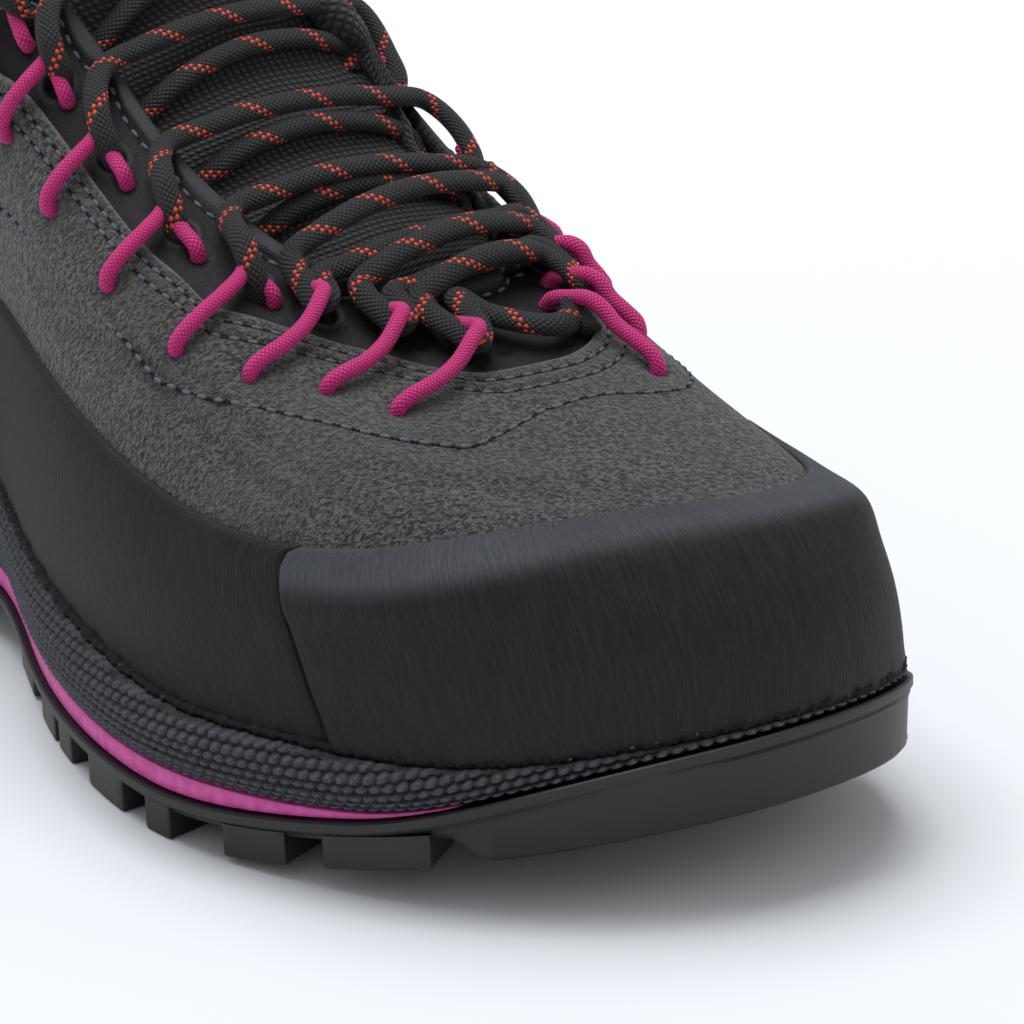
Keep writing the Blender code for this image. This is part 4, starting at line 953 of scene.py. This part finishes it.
def slab_mesh(wall, bottom, top):
    """A wall of rings with its bottom and top, joined where they meet."""
    mesh = joined([laid_grid(part, closed=False) for part in (np.stack(wall, 1), bottom, top)])
    bmesh.ops.remove_doubles(mesh, verts=mesh.verts, dist=SLAB_MERGE)
    return mesh


def slab_piece(name, finish, node, inset, low, high, slot, dish=0.0, soften=0.0008, plan=outline):
    """A slab between two heights, with a rounded rim."""
    rings = (
        (inset + soften, low, 0.0), (inset, low, soften),
        (inset, high, -soften), (inset + soften, high, 0.0),
    )
    wall = [edge_at(WHOLE, draw, height(WHOLE) + shift, plan) for draw, height, shift in rings]
    bottom = across_shoe(inset + soften, low, plan)
    top = across_shoe(inset + soften, high, plan, crown=dish)
    return piece(name, slab_mesh(wall, bottom, top), finish, node, slot=slot)


LINE_LAST, INNER_LINE_LAST = 8.0, 12.0


def line_plan(station, inset):
    """The coloured line's edge: cut straight across the sole where the line has tapered out."""
    outer_end, inner_end = (outline(last, inset) for last in (LINE_LAST, INNER_LINE_LAST))
    part = np.clip((station - LINE_LAST) / (INNER_LINE_LAST - LINE_LAST), 0, 1)
    toe = (station > LINE_LAST) & (station < INNER_LINE_LAST)
    edges = zip(outer_end, inner_end, outline(station, inset))
    return [np.where(toe, first * (1 - part) + last * part, edge) for first, last, edge in edges]


def line_low(station):
    return outsole_top(line_plan(station, LINE_INSET)[0]) + GAP


def line_high(station):
    return np.maximum(line_top(line_plan(station, LINE_INSET)[0]), line_low(station) + 0.0003)


slab_piece(
    "coloured_line", line_foam, "midsole_line", LINE_INSET, line_low, line_high, "pink_foam",
    soften=0.0001, plan=line_plan,
)
slab_piece(
    "footbed", lining, "insole", FOOTBED_INSET + 0.0008,
    lambda s: footbed(s) + GAP, lambda s: footbed(s) + GAP + INSOLE_THICKNESS, "mesh_cloth", 0.0012,
)

# %% [markdown]
# The tread's lugs bite into rock and mud. Those at the edge follow the sole's line, and those inside are
# blunt eight-sided blocks. Each is a disc with its corners moved to the lug's plan, pulled down to the
# ground line and bevelled there, as a mould's polished corners leave it. Its root is sunk in the sole.

# %% Lugs
LUG_ROOT, LUG_SIZE, LUG_TAPER, LUG_INSET, LUG_CORNER, LUG_LENGTH_IN = 0.0012, 0.015, 0.8, 0.0008, 0.6, 0.013
LUG_BEVEL = 0.0005
EDGE_LUGS = (
    (0.25, 0.65), (0.85, 1.25), (1.45, 1.80), (2.00, 2.35), (2.55, 2.90), (3.10, 3.45),
    (4.35, 4.62), (4.82, 5.08), (5.14, 5.32), (5.52, 5.86), (6.05, 6.25), (6.63, 7.04), (7.26, 7.87),
)
INNER_LUGS = (
    (0.10, 0.03, 0.87, 1.07, 0), (0.19, -0.07, 1.00, 0.80, 12), (0.19, 0.14, 1.00, 0.80, -12),
    (0.28, 0.03, 0.93, 1.07, 0), (0.56, -0.07, 0.87, 0.93, 18), (0.57, 0.12, 0.87, 0.93, -18),
    (0.64, 0.01, 0.87, 1.07, 0), (0.66, -0.22, 0.80, 0.80, 18), (0.66, 0.26, 0.80, 0.80, -18),
    (0.72, -0.10, 0.87, 0.93, 18), (0.72, 0.15, 0.87, 0.93, -18), (0.79, 0.03, 0.87, 1.07, 0),
    (0.79, -0.20, 0.80, 0.80, 18), (0.79, 0.27, 0.80, 0.80, -18),
)


def lug_block(corners):
    """A lug: its plan pulled down to the ground line, with its ground edges bevelled."""
    mesh = bmesh.new()
    disc = bmesh.ops.create_circle(mesh, cap_ends=True, radius=LUG_SIZE, segments=len(corners))["verts"]
    for vert, spot in zip(disc, place(np.c_[corners, base_bottom(corners[:, 0]) + LUG_ROOT])):
        vert.co = spot
    pulled = bmesh.ops.extrude_face_region(mesh, geom=list(mesh.faces))["geom"]
    ground = [item for item in pulled if isinstance(item, bmesh.types.BMVert)]
    for vert in ground:
        vert.co.z = float(tread_line(vert.co.x + MIDDLE[0]))
    edges = {edge for vert in ground for edge in vert.link_edges}
    bmesh.ops.bevel(
        mesh, geom=list(edges), offset=LUG_BEVEL, segments=2, profile=0.5, affect="EDGES", material=-1,
    )
    mesh.loops.layers.uv.new("skin")
    return mesh


def lug_plans():
    plans = []
    for start_at, end_at in EDGE_LUGS:
        for first, last in ((start_at, end_at), (ROWS - end_at, ROWS - start_at)):
            outer = np.stack(outline(np.linspace(first, last, 7), LUG_INSET), -1)
            inner = np.stack(outline(np.array([first, last]), LUG_LENGTH_IN), -1)
            inner = inner.mean(axis=0) + (inner - inner.mean(axis=0)) * LUG_TAPER
            plans.append(np.concatenate([outer, inner[::-1]]))
    cut = LUG_CORNER
    eight = ((-1, -cut), (-cut, -1), (cut, -1), (1, -cut), (1, cut), (cut, 1), (-cut, 1), (-1, cut))
    for along, across, length, width, degrees in INNER_LUGS:
        angle = math.radians(degrees)
        shape = np.array(eight) * (length, width) * (LUG_SIZE / 2)
        turned = shape @ np.array(((math.cos(angle), math.sin(angle)), (-math.sin(angle), math.cos(angle))))
        plans.append(turned + (along * LENGTH, across * BALL_WIDTH))
    return plans


print("lugs", len(lug_plans()))

# %% [markdown]
# The outsole is one pressing: a side wall with a lip, a smooth climbing edge round the toe, and lugs. The
# wall is laid as rings, like the other slabs, so that lip and step follow the sole's own line, and the
# lip fades where it runs into the climbing edge.

# %% The outsole
LIP_HEIGHT, LIP_STEP, LIP_SLOPE, LIP_FADE = 0.0019, 0.0013, 0.0006, 0.85
SIDE_DRAFT, FOOT_ROUND = 0.0007, 0.0008


def make_outsole():
    toe = smooth_step((section(WHOLE)["along"] - CLIMBING_EDGE) / (1 - CLIMBING_EDGE))
    step = LIP_STEP * (1 - LIP_FADE * toe)
    foot = step + SIDE_DRAFT + FOOT_ROUND
    rings = (
        (foot, base_bottom, 0.0), (step + SIDE_DRAFT, base_bottom, FOOT_ROUND),
        (step + 0.0003, outsole_top, -LIP_HEIGHT - 2.2 * LIP_SLOPE),
        (step, outsole_top, -LIP_HEIGHT - LIP_SLOPE), (0.0004, outsole_top, -LIP_HEIGHT - 0.2 * LIP_SLOPE),
        (0.0, outsole_top, -LIP_HEIGHT + 0.0003), (0.0, outsole_top, -0.0003), (0.0003, outsole_top, 0.0),
    )
    wall = [edge_at(WHOLE, inset, height(outline(WHOLE, inset)[0]) + shift) for inset, height, shift in rings]
    low_inset, high_inset = foot[:len(HALF)], rings[-1][0]
    bottom = across_shoe(low_inset, lambda s: base_bottom(outline(s, low_inset)[0]))
    top = across_shoe(high_inset, lambda s: outsole_top(outline(s, high_inset)[0]))
    mesh = joined([slab_mesh(wall, bottom, top), *map(lug_block, lug_plans())])
    return piece("lugged_outsole", mesh, tread_rubber, "outsole", slot="sole_rubber", sharp=40)


make_outsole()

# %% [markdown]
# The facing is the smooth band that carries the lace round the throat. Its rim is raised and scalloped,
# and each upper row has an oval slot that the lace dives into.

# %% The facing
FACING_LEVEL, RIM_RAISE, RIM_WIDTH, SCALLOP = -0.0009, 0.0011, 0.0034, 0.0016
SLOTS = (  # station, distance from the rim in mm: outer side, then inner side
    (8.10, 13.5), (7.20, 15.2), (6.31, 16.3), (5.52, 16.3), (4.90, 15.2),
    (12.15, 12.5), (12.72, 12.5), (13.36, 12.5), (14.00, 12.0), (14.58, 11.5),
)
SLOT_SINK, SLOT_REACH, SLOT_SOFT = 0.0012, 0.0022, 0.0007
RING_WIDTH, RING_RAISE, RIM_SOFT = 0.0006, 0.0003, 0.0008
EDGE_SINK, EDGE_SOFT, LEG_SINK, LEG_REACH = 0.0004, 0.0005, 0.0008, 0.0014


def rim_width(station):
    """The rim is widest between two rows and narrow beside each slot."""
    apexes = np.array([row[2] for row in OUTER_LOOPS + INNER_LOOPS])
    gap = np.min(np.abs(np.asarray(station)[..., None] - apexes), axis=-1)
    return RIM_WIDTH + SCALLOP * (1 - 2 * hump(gap, 0.13))


def make_facing():
    station = np.linspace(THROAT_START - 0.15, THROAT_END + 0.15, 620)
    edge = np.maximum(suede_edge(station), 0.004) + 0.0012
    away = edge[:, None] * np.linspace(0, 1, 44)
    share = share_from_rim(station, away)
    column = station[:, None]
    rim = smooth_step((rim_width(column) - away) / RIM_SOFT + 0.5)
    flat = on_rib(column, share)
    slots, ring = np.zeros(share.shape), np.zeros(share.shape)
    for at, distance in SLOTS:
        spot = on_rib(at, share_from_rim(np.array([at]), np.array([[distance * MM]]))[0, 0])
        gap = np.linalg.norm(flat - spot, axis=-1)
        slots = np.maximum(slots, smooth_step((SLOT_REACH - gap) / SLOT_SOFT))
        ring = np.maximum(ring, hump(gap - SLOT_REACH - RING_WIDTH, RING_WIDTH))
    legs = near_loop(column, share, OUTER_LOOPS + INNER_LOOPS, "leg", LEG_REACH)
    out = FACING_LEVEL + rim * RIM_RAISE - slots * SLOT_SINK + ring * RING_RAISE
    out = out - EDGE_SINK * hump(away, EDGE_SOFT) - LEG_SINK * legs
    face = skin(column, share, out)
    under = skin(column, share[:, ::6][:, ::-1], -WALL)
    points = np.concatenate([face, under, face[:, :1]], axis=1)
    back = np.zeros((len(station), under.shape[1] + 1))
    # The hole mark places the painted shade of the slots and of the loops' legs.
    marks = {
        "rim": np.concatenate([np.maximum(rim, ring), back], axis=1),
        "hole": np.concatenate([np.maximum(slots, smooth_step(legs * 1.5 - 0.5)), back], axis=1),
    }
    mesh = laid_grid(points, along_uv(points), marks)
    return piece("smooth_facing", mesh, microfibre, "facing", slot="microfibre")


make_facing()

# %% [markdown]
# The tongue lies under the facings, is crowned like the foot's instep and stands up past the top row. It
# is worked out as cross lines from lap to lap, each between the two rims of one place along the throat,
# and a few free ones lean out above the top row.

# %% Lines of the tongue
TONGUE_TOE, TONGUE_LAP, TONGUE_DEPTH, TONGUE_CROWN = 9.0, 0.007, 0.0008, 0.09
TONGUE_TIPS = ((1.3, 1.4, 1.45, 1.45, 1.45, 1.4, 1.3), (0.9, 0.5, 0.2, 0.2, 0.2, 0.5, 0.9))
TONGUE_RISE, TONGUE_LEANS, TONGUE_TOP_PARTS = 0.026, (28, 44, 58, 62), (0.30, 0.35, 0.25, 0.10)
TONGUE_TOP_WIDTHS, TONGUE_TOP_WIDTH, TONGUE_TOP_CURL = (1.0, 1.0, 0.94, 0.72), 0.036, 0.45


def opposite(station):
    """The station of the inner rim straight across from a station of the outer rim."""
    inner = np.linspace(THROAT_END, ROWS - TONGUE_TOE, ROWS * 3)
    return np.interp(on_rib(station, 1.0)[..., 0], on_rib(inner, np.ones(inner.shape))[:, 0], inner)


def rim_shares(stations, distances):
    return share_from_rim(np.asarray(stations), np.asarray(distances)[:, None])[:, 0]


def throat_line(station, across, out=0.0):
    """Points between the two rims of the throat, on a crowned surface level with the rims."""
    first, second = skin(station, 1.0), skin(opposite(station), 1.0)
    across = np.asarray(across, float)[:, None]
    line = first * (1 - across) + second * across
    line[:, 2] += TONGUE_CROWN * np.linalg.norm(second - first) * 4 * (across * (1 - across))[:, 0] + out
    return line


def tongue_lines():
    depth = -WALL - TONGUE_DEPTH
    toe = np.linspace(TONGUE_TOE, opposite(TONGUE_TOE), 7)
    lines = [skin(toe, rim_shares(toe, TONGUE_LAP * np.array(tip)), depth) for tip in TONGUE_TIPS]
    count = round((TONGUE_TOE - THROAT_START) * 3)
    for station in np.linspace(THROAT_START, TONGUE_TOE, count + 1)[-2::-1]:
        pair = np.array([station, opposite(station)])
        laps = skin(pair, rim_shares(pair, np.full(2, TONGUE_LAP)), depth)
        rims = skin(pair, np.ones(2), depth)
        middle = throat_line(station, np.array([0.25, 0.5, 0.75]), depth)
        lines.append(np.concatenate([laps[:1], rims[:1], middle, rims[1:], laps[1:]]))
    last, centre = lines[-1], lines[-1].mean(axis=0)
    across = (last[:, 1] - centre[1]) / (last[-1] - last[0])[1]
    for angle, part, width in zip(TONGUE_LEANS, TONGUE_TOP_PARTS, TONGUE_TOP_WIDTHS):
        lean = math.radians(angle)
        centre = centre + np.array([-math.cos(lean), 0, math.sin(lean)]) * TONGUE_RISE * part
        line = np.repeat(centre[None], len(last), axis=0)
        line[:, 1] += across * TONGUE_TOP_WIDTH * width
        line[:, 2] += (last[:, 2] - last[:, 2].mean()) * TONGUE_TOP_CURL
        lines.append(line)
    return np.array(lines)


print("tongue lines", len(tongue_lines()))

# %% [markdown]
# The tongue itself is two layers of mesh over thin foam. Smooth curves through the coarse lines give its
# face, and a shell behind it gives the padding, thin at the sewn edges and full in the middle.

# %% The tongue
TONGUE_THICKNESS = 0.005


def refined(points, along_count, across_count):
    """A finer grid through a coarse one, smooth both ways."""
    for count in (along_count, across_count):
        wanted = np.linspace(0, len(points) - 1, count)
        first = np.minimum(wanted.astype(int), len(points) - 2)
        part = (wanted - first)[:, None, None]
        points = between_knots(points, np.gradient(points, axis=0), first, part).swapaxes(0, 1)
    return points


def padded_shell(top, thick, puff=0.0):
    """A closed padded shell under a top surface: its under side and rounded edges."""
    along, across = np.gradient(top, axis=0), np.gradient(top, axis=1)
    normal = np.cross(across, along)
    normal /= np.linalg.norm(normal, axis=-1, keepdims=True)
    part = np.linspace(0, 1, top.shape[1])[None]
    way = np.linspace(0, 1, top.shape[0])[:, None]
    soft = np.sqrt(np.clip(np.minimum(np.minimum(part, 1 - part) * 9, np.minimum(way, 1 - way) * 14), 0.05, 1))
    upper = top + normal * (puff * soft - 0.4 * thick * (1 - soft))[..., None]
    under = top - normal * (thick * (0.6 + 0.4 * soft))[..., None]
    under = under[:, ::-1][:, ::3]
    return np.concatenate([upper, under, upper[:, :1]], axis=1)


def make_tongue():
    top = refined(tongue_lines(), 190, 74)
    points = padded_shell(top, TONGUE_THICKNESS)
    mesh = laid_grid(points, along_uv(points))
    tongue = piece("mesh_tongue", mesh, mesh_cloth, "tongue", slot="mesh_cloth")


make_tongue()

# %% [markdown]
# The collar is lined with foam under the same mesh. It swells inwards below the rim and rolls over it.
# The heel has a pull loop of smooth webbing, sewn down at the back and over the rim.

# %% Collar cuff and heel pull
CUFF_THICKNESS, CUFF_CLEAR, CUFF_DEPTH, CUFF_RISE = 0.006, 0.0005, 0.024, 0.003
CUFF_PROFILE = np.array(((0.0, 0.35), (0.35, 0.9), (0.7, 1.0), (1.0, 0.75)))
CUFF_CROWN = np.array(((0.6, 0, 0.5), (1.2, 0, 0.95), (1, 0.4, 1.1), (1, 0.68, 0.6)))  # in by walls, pads; rise
PULL_WIDTH, PULL_THICKNESS, PULL_RISE, PULL_DEPTH, PULL_SEWN = 0.013, 0.0014, 0.010, 0.028, 0.012
PULL_ARC = np.array(((-0.07, -1.0), (-0.03, 0.1), (0.18, 0.8), (0.75, 1.0), (1.04, 0.75), (1.14, 0.45)))


def make_cuff():
    station = np.linspace(THROAT_END + 1 / 3 - ROWS, THROAT_START - 1 / 3, 260)
    low = share_from_rim(station, np.full((len(station), 1), CUFF_DEPTH))
    part = np.linspace(0, 1, 24)
    shares = low * (1 - part) + part
    full = np.interp(part, *CUFF_PROFILE.T) * (0.9 + 0.1 * np.sin(math.pi * part))
    outer = skin(station[:, None], shares, -WALL - CUFF_CLEAR)[:, ::4]
    inner = skin(station[:, None], shares, -WALL - GAP - CUFF_THICKNESS * full)
    crown = skin(station[:, None], 1.0, -WALL * CUFF_CROWN[:, 0] - CUFF_THICKNESS * CUFF_CROWN[:, 1])
    crown[..., 2] += CUFF_RISE * CUFF_CROWN[:, 2]
    points = np.concatenate([outer, crown, inner[:, ::-1], outer[:, :1]], axis=1)
    cuff = piece("padded_collar", laid_grid(points, along_uv(points)), lining, "collar_cuff", slot="mesh_cloth")


def make_pull():
    zero = np.zeros(3)
    heights = HEEL_HEIGHT - PULL_DEPTH + PULL_SEWN * np.linspace(0, 1, 3)
    back = skin(zero, share_at_height(zero, heights), 3 * GAP + PULL_THICKNESS / 2)
    rim = skin(np.zeros(1), np.ones(1))[0]
    way, rise = PULL_ARC.T
    arc = np.stack([back[-1][0] + (rim[0] - back[-1][0]) * way, 0 * way, rim[2] + PULL_RISE * rise], -1)
    path = np.concatenate([back, arc])
    path[:, 1] = rim[1]
    path = smooth_path(path, 0.0008)
    ups = np.cross(np.gradient(path, axis=0), (0, 1, 0))
    points, uv = swept(path, ups, PULL_WIDTH / 2, PULL_THICKNESS / 2, 24)
    return piece("webbing_pull", laid_grid(points, uv), microfibre, "heel_pull", slot="microfibre")


make_cuff()
make_pull()

# %% [markdown]
# Seams are rows of real stitches. Each stitch is one small rounded bead of thread, 1.9 mm long, whose ends dip
# into needle holes, and there is one every 3 mm. The needle holes are small near-black beads, painted shade
# standing in for the dark inside of each hole. All the stitches of the shoe are one joined mesh, and so are the
# holes.

# %% Seams
STITCH_STEP, STITCH_LENGTH, THREAD = 0.0030, 0.0019, 0.0006
CHEVRON = (  # station, distance from the rim in mm
    (3.9, 36.0), (4.29, 41.2), (4.79, 43.2), (5.22, 43.4), (5.51, 44.3), (5.8, 45.6), (6.1, 48.4),
    (6.48, 47.6), (6.91, 46.2), (7.65, 45.6), (8.2, 46.4), (8.71, 47.3), (9.1, 43.2), (9.51, 39.3),
    (9.99, 37.7), (10.3, 38.4), (10.7, 41.0), (11.2, 43.0), (11.8, 43.0), (12.5, 41.5), (13.2, 40.0),
    (14.0, 38.0), (14.8, 36.0), (15.2, 33.0),
)


def seam_line(marks, extra=0.0):
    """Even points along a seam: its stations and distances from the rim."""
    marks = np.asarray(marks, float)
    station = np.linspace(marks[0, 0], marks[-1, 0], 1500)
    distance = np.interp(station, marks[:, 0], marks[:, 1]) + extra
    share = share_from_rim(station, distance[:, None] * MM)[:, 0]
    length = measured(on_rib(station, share))
    wanted = np.arange(STITCH_STEP / 2, length[-1], STITCH_STEP)
    return np.interp(wanted, length, station), np.interp(wanted, length, share)


def stitch_frames(station, share, out):
    """Where each stitch lies: its middle, its direction, and the surface's normal."""
    middle = skin(station, share, out)
    normal = skin_normal(station, share)
    way = np.gradient(middle, axis=0)
    way -= normal * np.sum(way * normal, axis=1, keepdims=True)
    way /= np.linalg.norm(way, axis=1, keepdims=True)
    return zip(place(middle), way, normal)


def bead(centre, way, normal, half_long, half_wide, half_high):
    mesh = bmesh.new()
    axes = (way * half_long, np.cross(normal, way) * half_wide, normal * half_high)
    matrix = Matrix(np.c_[np.array(axes).T, centre]).to_4x4()
    bmesh.ops.create_uvsphere(mesh, u_segments=8, v_segments=6, radius=1, matrix=matrix)
    return mesh


edge_marks = [(station, suede_edge(station) / MM) for station in np.linspace(4.2, 15.2, 120)]
rim_marks = [(station, rim_width(station) / MM + 1.3) for station in np.linspace(4.4, 15.0, 300)]
SEAMS = (  # line, further from the rim in mm, height of the thread above the ribs in mm
    (edge_marks, SEAM_LINES[0], 0.05), (edge_marks, SEAM_LINES[1], 0.05),
    (CHEVRON, 0.0, 0.32), (rim_marks, 0.0, -0.85),
)
NEEDLE_HOLE = (0.00044, 0.00038, 0.0002)
stitches, holes = [], []
for marks, extra, out in SEAMS:
    station, share = seam_line(marks, extra)
    for centre, way, normal in stitch_frames(station, share, out * MM):
        stitches.append(bead(centre, way, normal, STITCH_LENGTH / 2, THREAD * 0.6, THREAD * 0.5))
        for end in (-1, 1):
            spot = centre + way * end * STITCH_LENGTH * 0.58 - normal * 0.0001
            holes.append(bead(spot, way, normal, *NEEDLE_HOLE))
piece("seam_stitches", joined(stitches), thread, slot="suede")
piece("needle_holes", joined(holes), pit, slot="suede")

# %% [markdown]
# Each pink loop comes out of its hole in the suede, rises to its apex over the facing and goes back down
# a short leg. In the three rows nearest the toe the lace turns inside the loop, so the loop lies over it.
# Further up the lace passes over the loop and dives into its slot.

# %% Cord loops
LOOP_RADIUS, CORD_STEP = 0.00125, 0.0005
ROWS_OVER_LACE = 3


def loop_spots(row):
    named = dict(zip(LOOP_COLUMNS, row))
    return [np.array([named[name], named[name + "_share"]]) for name in ("hole", "apex", "leg")]


def loop_shape(number, row):
    """Path points of a loop and the height of each above the ribs, in mm."""
    hole, apex, leg = loop_spots(row)
    over = number < ROWS_OVER_LACE
    top = 4.8 if over else 1.9
    if over:
        leg = apex + (np.array([apex[0], 1.0]) - apex) * 0.4
    bulge = 1.7 + 0.35 * top
    rise = ((-0.02, -1.2), (0.02, 0.8), (0.12, 1.9), (0.35, 2.6), (0.65, bulge), (0.9, top), (1.0, top))
    fall = ((0.5, top * 0.6), (0.92, 0.3), (1.0, -1.6))
    shape = [(hole + (apex - hole) * way, out) for way, out in rise]
    return shape + [(apex * (1 - way) + leg * way, out) for way, out in fall]


loop_meshes = []
for loops in (OUTER_LOOPS, INNER_LOOPS):
    for number, row in enumerate(loops):
        shape = loop_shape(number, row)
        spots = np.array([skin(station, share, out * MM) for (station, share), out in shape])
        path = smooth_path(spots, CORD_STEP)
        normals = np.array([skin_normal(station, share) for (station, share), _ in shape])
        way, given = np.linspace(0, 1, len(path)), np.linspace(0, 1, len(shape))
        ups = np.stack([np.interp(way, given, part) for part in normals.T], -1)
        points, uv = swept(path, ups, LOOP_RADIUS, LOOP_RADIUS, 14)
        loop_meshes.append(laid_grid(points, uv))
loop_nodes = [f"cord_loop_{side}_{number}" for side in ("outer", "inner") for number in range(1, 9)]
piece("cord_loops", joined(loop_meshes), loop_braid, *loop_nodes, slot="pink_cord")

# %% [markdown]
# A laced lace is held by its turns, so it is laid through chosen points near the loops' apexes and not
# left to fall. Between two turns it lies on the tongue's crown, which lifts and bows it.

# %% Points for the lace
LACE_WIDE, LACE_HIGH = 0.0020, 0.00145
LACE_MIDDLE, LACE_AXIS_DROP, LACE_TILT = 6.5, 0.035, 0.012
LOWER_LIMBS = ((-3.4, 7.0), (-1.6, 1.0), (-1.6, 1.0))  # lift and bow in mm, one for each zigzag row
STRAND_GAP = 0.0037  # left out of the braid's map between two strands


def near_apex(side, number, *spots):
    """Points near a loop's apex: how far towards the rim, mm above the ribs, and stations towards the heel."""
    station, share = loop_spots((OUTER_LOOPS, INNER_LOOPS)[side][number])[1]
    heelwards = (-1, 1)[side]
    return [
        skin(station + heelwards * sum(shift), share + (1 - share) * rimwards, out * MM)
        for rimwards, out, *shift in spots
    ]


def crossing(begin, end, lift, bow=0.0, count=7):
    """Middle points of a strand from rim to rim, lifted and bowed towards the toe by so many mm."""
    part = np.linspace(0, 1, count + 2)[1:-1]
    line = begin * (1 - part)[:, None] + end * part[:, None]
    crown = 4 * part * (1 - part)
    line[:, 2] += TONGUE_CROWN * np.linalg.norm((end - begin)[:2]) * crown + lift * MM * crown**0.6
    line[:, 0] += bow * MM * crown
    return line


print("first turn", place(near_apex(0, 0, (0.0, 2.3)))[0].round(4))

# %% [markdown]
# The lace is one flat-round braid. In the lower rows it zigzags between the loops and turns sharply in
# each. Above them, each row has a strand that crosses over both rims and dives into a slot at each end,
# and one below it that passes under the rims. The strands lie one above another and end hidden in the top
# eyelets.

# %% Lace
def strand_over(number, lift):
    """Over both rims, from a slot on the outer side to one on the inner side."""
    outer = near_apex(0, number, (-0.04, -2.4, -0.15), (-0.03, 1.0, -0.12), (0.08, 3.8), (0.85, 1.9, 0.02))
    inner = near_apex(1, number, (0.85, 1.8, 0.02), (0.08, 3.0), (-0.03, 1.0, -0.12), (-0.04, -2.4, -0.15))
    return [*outer, *crossing(outer[-1], inner[0], lift), *inner]


def strand_under(number, lift):
    """Out from under one rim and in under the other."""
    outer = near_apex(0, number, (0.75, -4.4, -0.44), (1.0, -3.2, -0.42))
    inner = near_apex(1, number, (1.0, -3.2, -0.22), (0.75, -4.4, -0.24))
    return [*outer, *crossing(outer[-1], inner[0], lift), *inner]


def zigzag():
    """The strand that turns in the lowest loops of both sides."""
    path = near_apex(1, 0, (-0.1, 0.5), (0.15, 2.2))
    for number, (lift, bow) in enumerate(LOWER_LIMBS):
        near = near_apex(
            0, number, (0.55, 2.6, -0.22), (0.1, 2.4, -0.10), (0.0, 2.3), (0.15, 2.5, 0.12), (0.6, 3.0, 0.16),
        )
        far = near_apex(1, number + 1, (0.6, 3.2, -0.10), (0.0, 2.4), (0.6, 2.8, 0.10))
        path += [*crossing(path[-1], near[0], lift, bow), *near, *crossing(near[-1], far[0], 0.4), *far]
    return path


def tongue_up(path):
    """Which way the lace's flat side looks: outwards at the sides and up in the middle."""
    centre = (skin(LACE_MIDDLE, 1.0) + skin(opposite(LACE_MIDDLE), 1.0)) / 2
    ups = path - (centre + np.array([0, 0, -LACE_AXIS_DROP]))
    ups[:, 0] = LACE_TILT
    return ups / np.linalg.norm(ups, axis=1, keepdims=True)


OVER_ROWS, OVER_LIFT, UNDER_ROWS, UNDER_LIFT = (3, 4, 5, 6, 7), -0.9, (3, 4, 5, 6), 3.0
strands = [zigzag(), *(strand_over(number, OVER_LIFT) for number in OVER_ROWS)]
strands += [strand_under(number, UNDER_LIFT) for number in UNDER_ROWS]
lace_meshes, lace_length = [], 0.0
for strand in strands:
    path = smooth_path(strand, CORD_STEP)
    points, uv = swept(path, tongue_up(path), LACE_WIDE, LACE_HIGH, 22, lace_length)
    lace_meshes.append(laid_grid(points, uv))
    lace_length = float(uv[-1, 0, 0]) + STRAND_GAP
print("lace laid", round(lace_length, 2), "m")
piece("braided_lace", joined(lace_meshes), lace_braid, "lace", slot="braided_lace")

# %% [markdown]
# The studio is a pale floor and a pale room, with one wide soft light high above the heel and a weak one
# ahead of the toe, on the side away from the camera. Dark materials need that wide light, which grazes
# the toe from behind, to show their relief.

# %% Floor and light
floor = bmesh.new()
bmesh.ops.create_grid(floor, x_segments=1, y_segments=1, size=6)
data = bpy.data.meshes.new("floor")
floor.to_mesh(data)
floor.free()
paper, tree, where = start("studio_paper", Roughness=0.9)
fibre = add(tree, "TexNoise", {0: where, "Scale": 3, "Detail": 2})
tone = layered(tree, "#F4F6F9", (fibre, "#F8FAFD", 1))
tree.links.new(tone, tree.nodes["Principled BSDF"].inputs["Base Color"])
data.materials.append(paper)
ground = bpy.data.objects.new("floor", data)
bpy.context.scene.collection.objects.link(ground)

world = bpy.data.worlds.new("studio")
world.use_nodes = True
for name, value in (("Color", shade("#F7F9FC")), ("Strength", 0.44)):
    world.node_tree.nodes["Background"].inputs[name].default_value = value
bpy.context.scene.world = world
bpy.context.scene.view_settings.view_transform = "Standard"


def soft_light(name, spot, size, power, colour):
    lamp = bpy.data.lights.new(name, "AREA")
    lamp.shape = "RECTANGLE"
    lamp.size, lamp.size_y = size
    lamp.energy = power
    lamp.color = shade(colour)[:3]
    made = bpy.data.objects.new(name, lamp)
    made.location = spot
    made.rotation_mode = "QUATERNION"
    made.rotation_quaternion = (Vector((0.05, 0, 0.04)) - Vector(spot)).to_track_quat("-Z", "Y")
    bpy.context.scene.collection.objects.link(made)


soft_light("softbox_above", (-0.38, 0.05, 1.6), (1.4, 1.2), 23, "#F8FAFF")
soft_light("softbox_right", (0.9, 1.1, 0.7), (0.8, 0.7), 1.6, "#FFFBF4")
print("floor 6 m, lights", [thing.name for thing in bpy.data.lights])
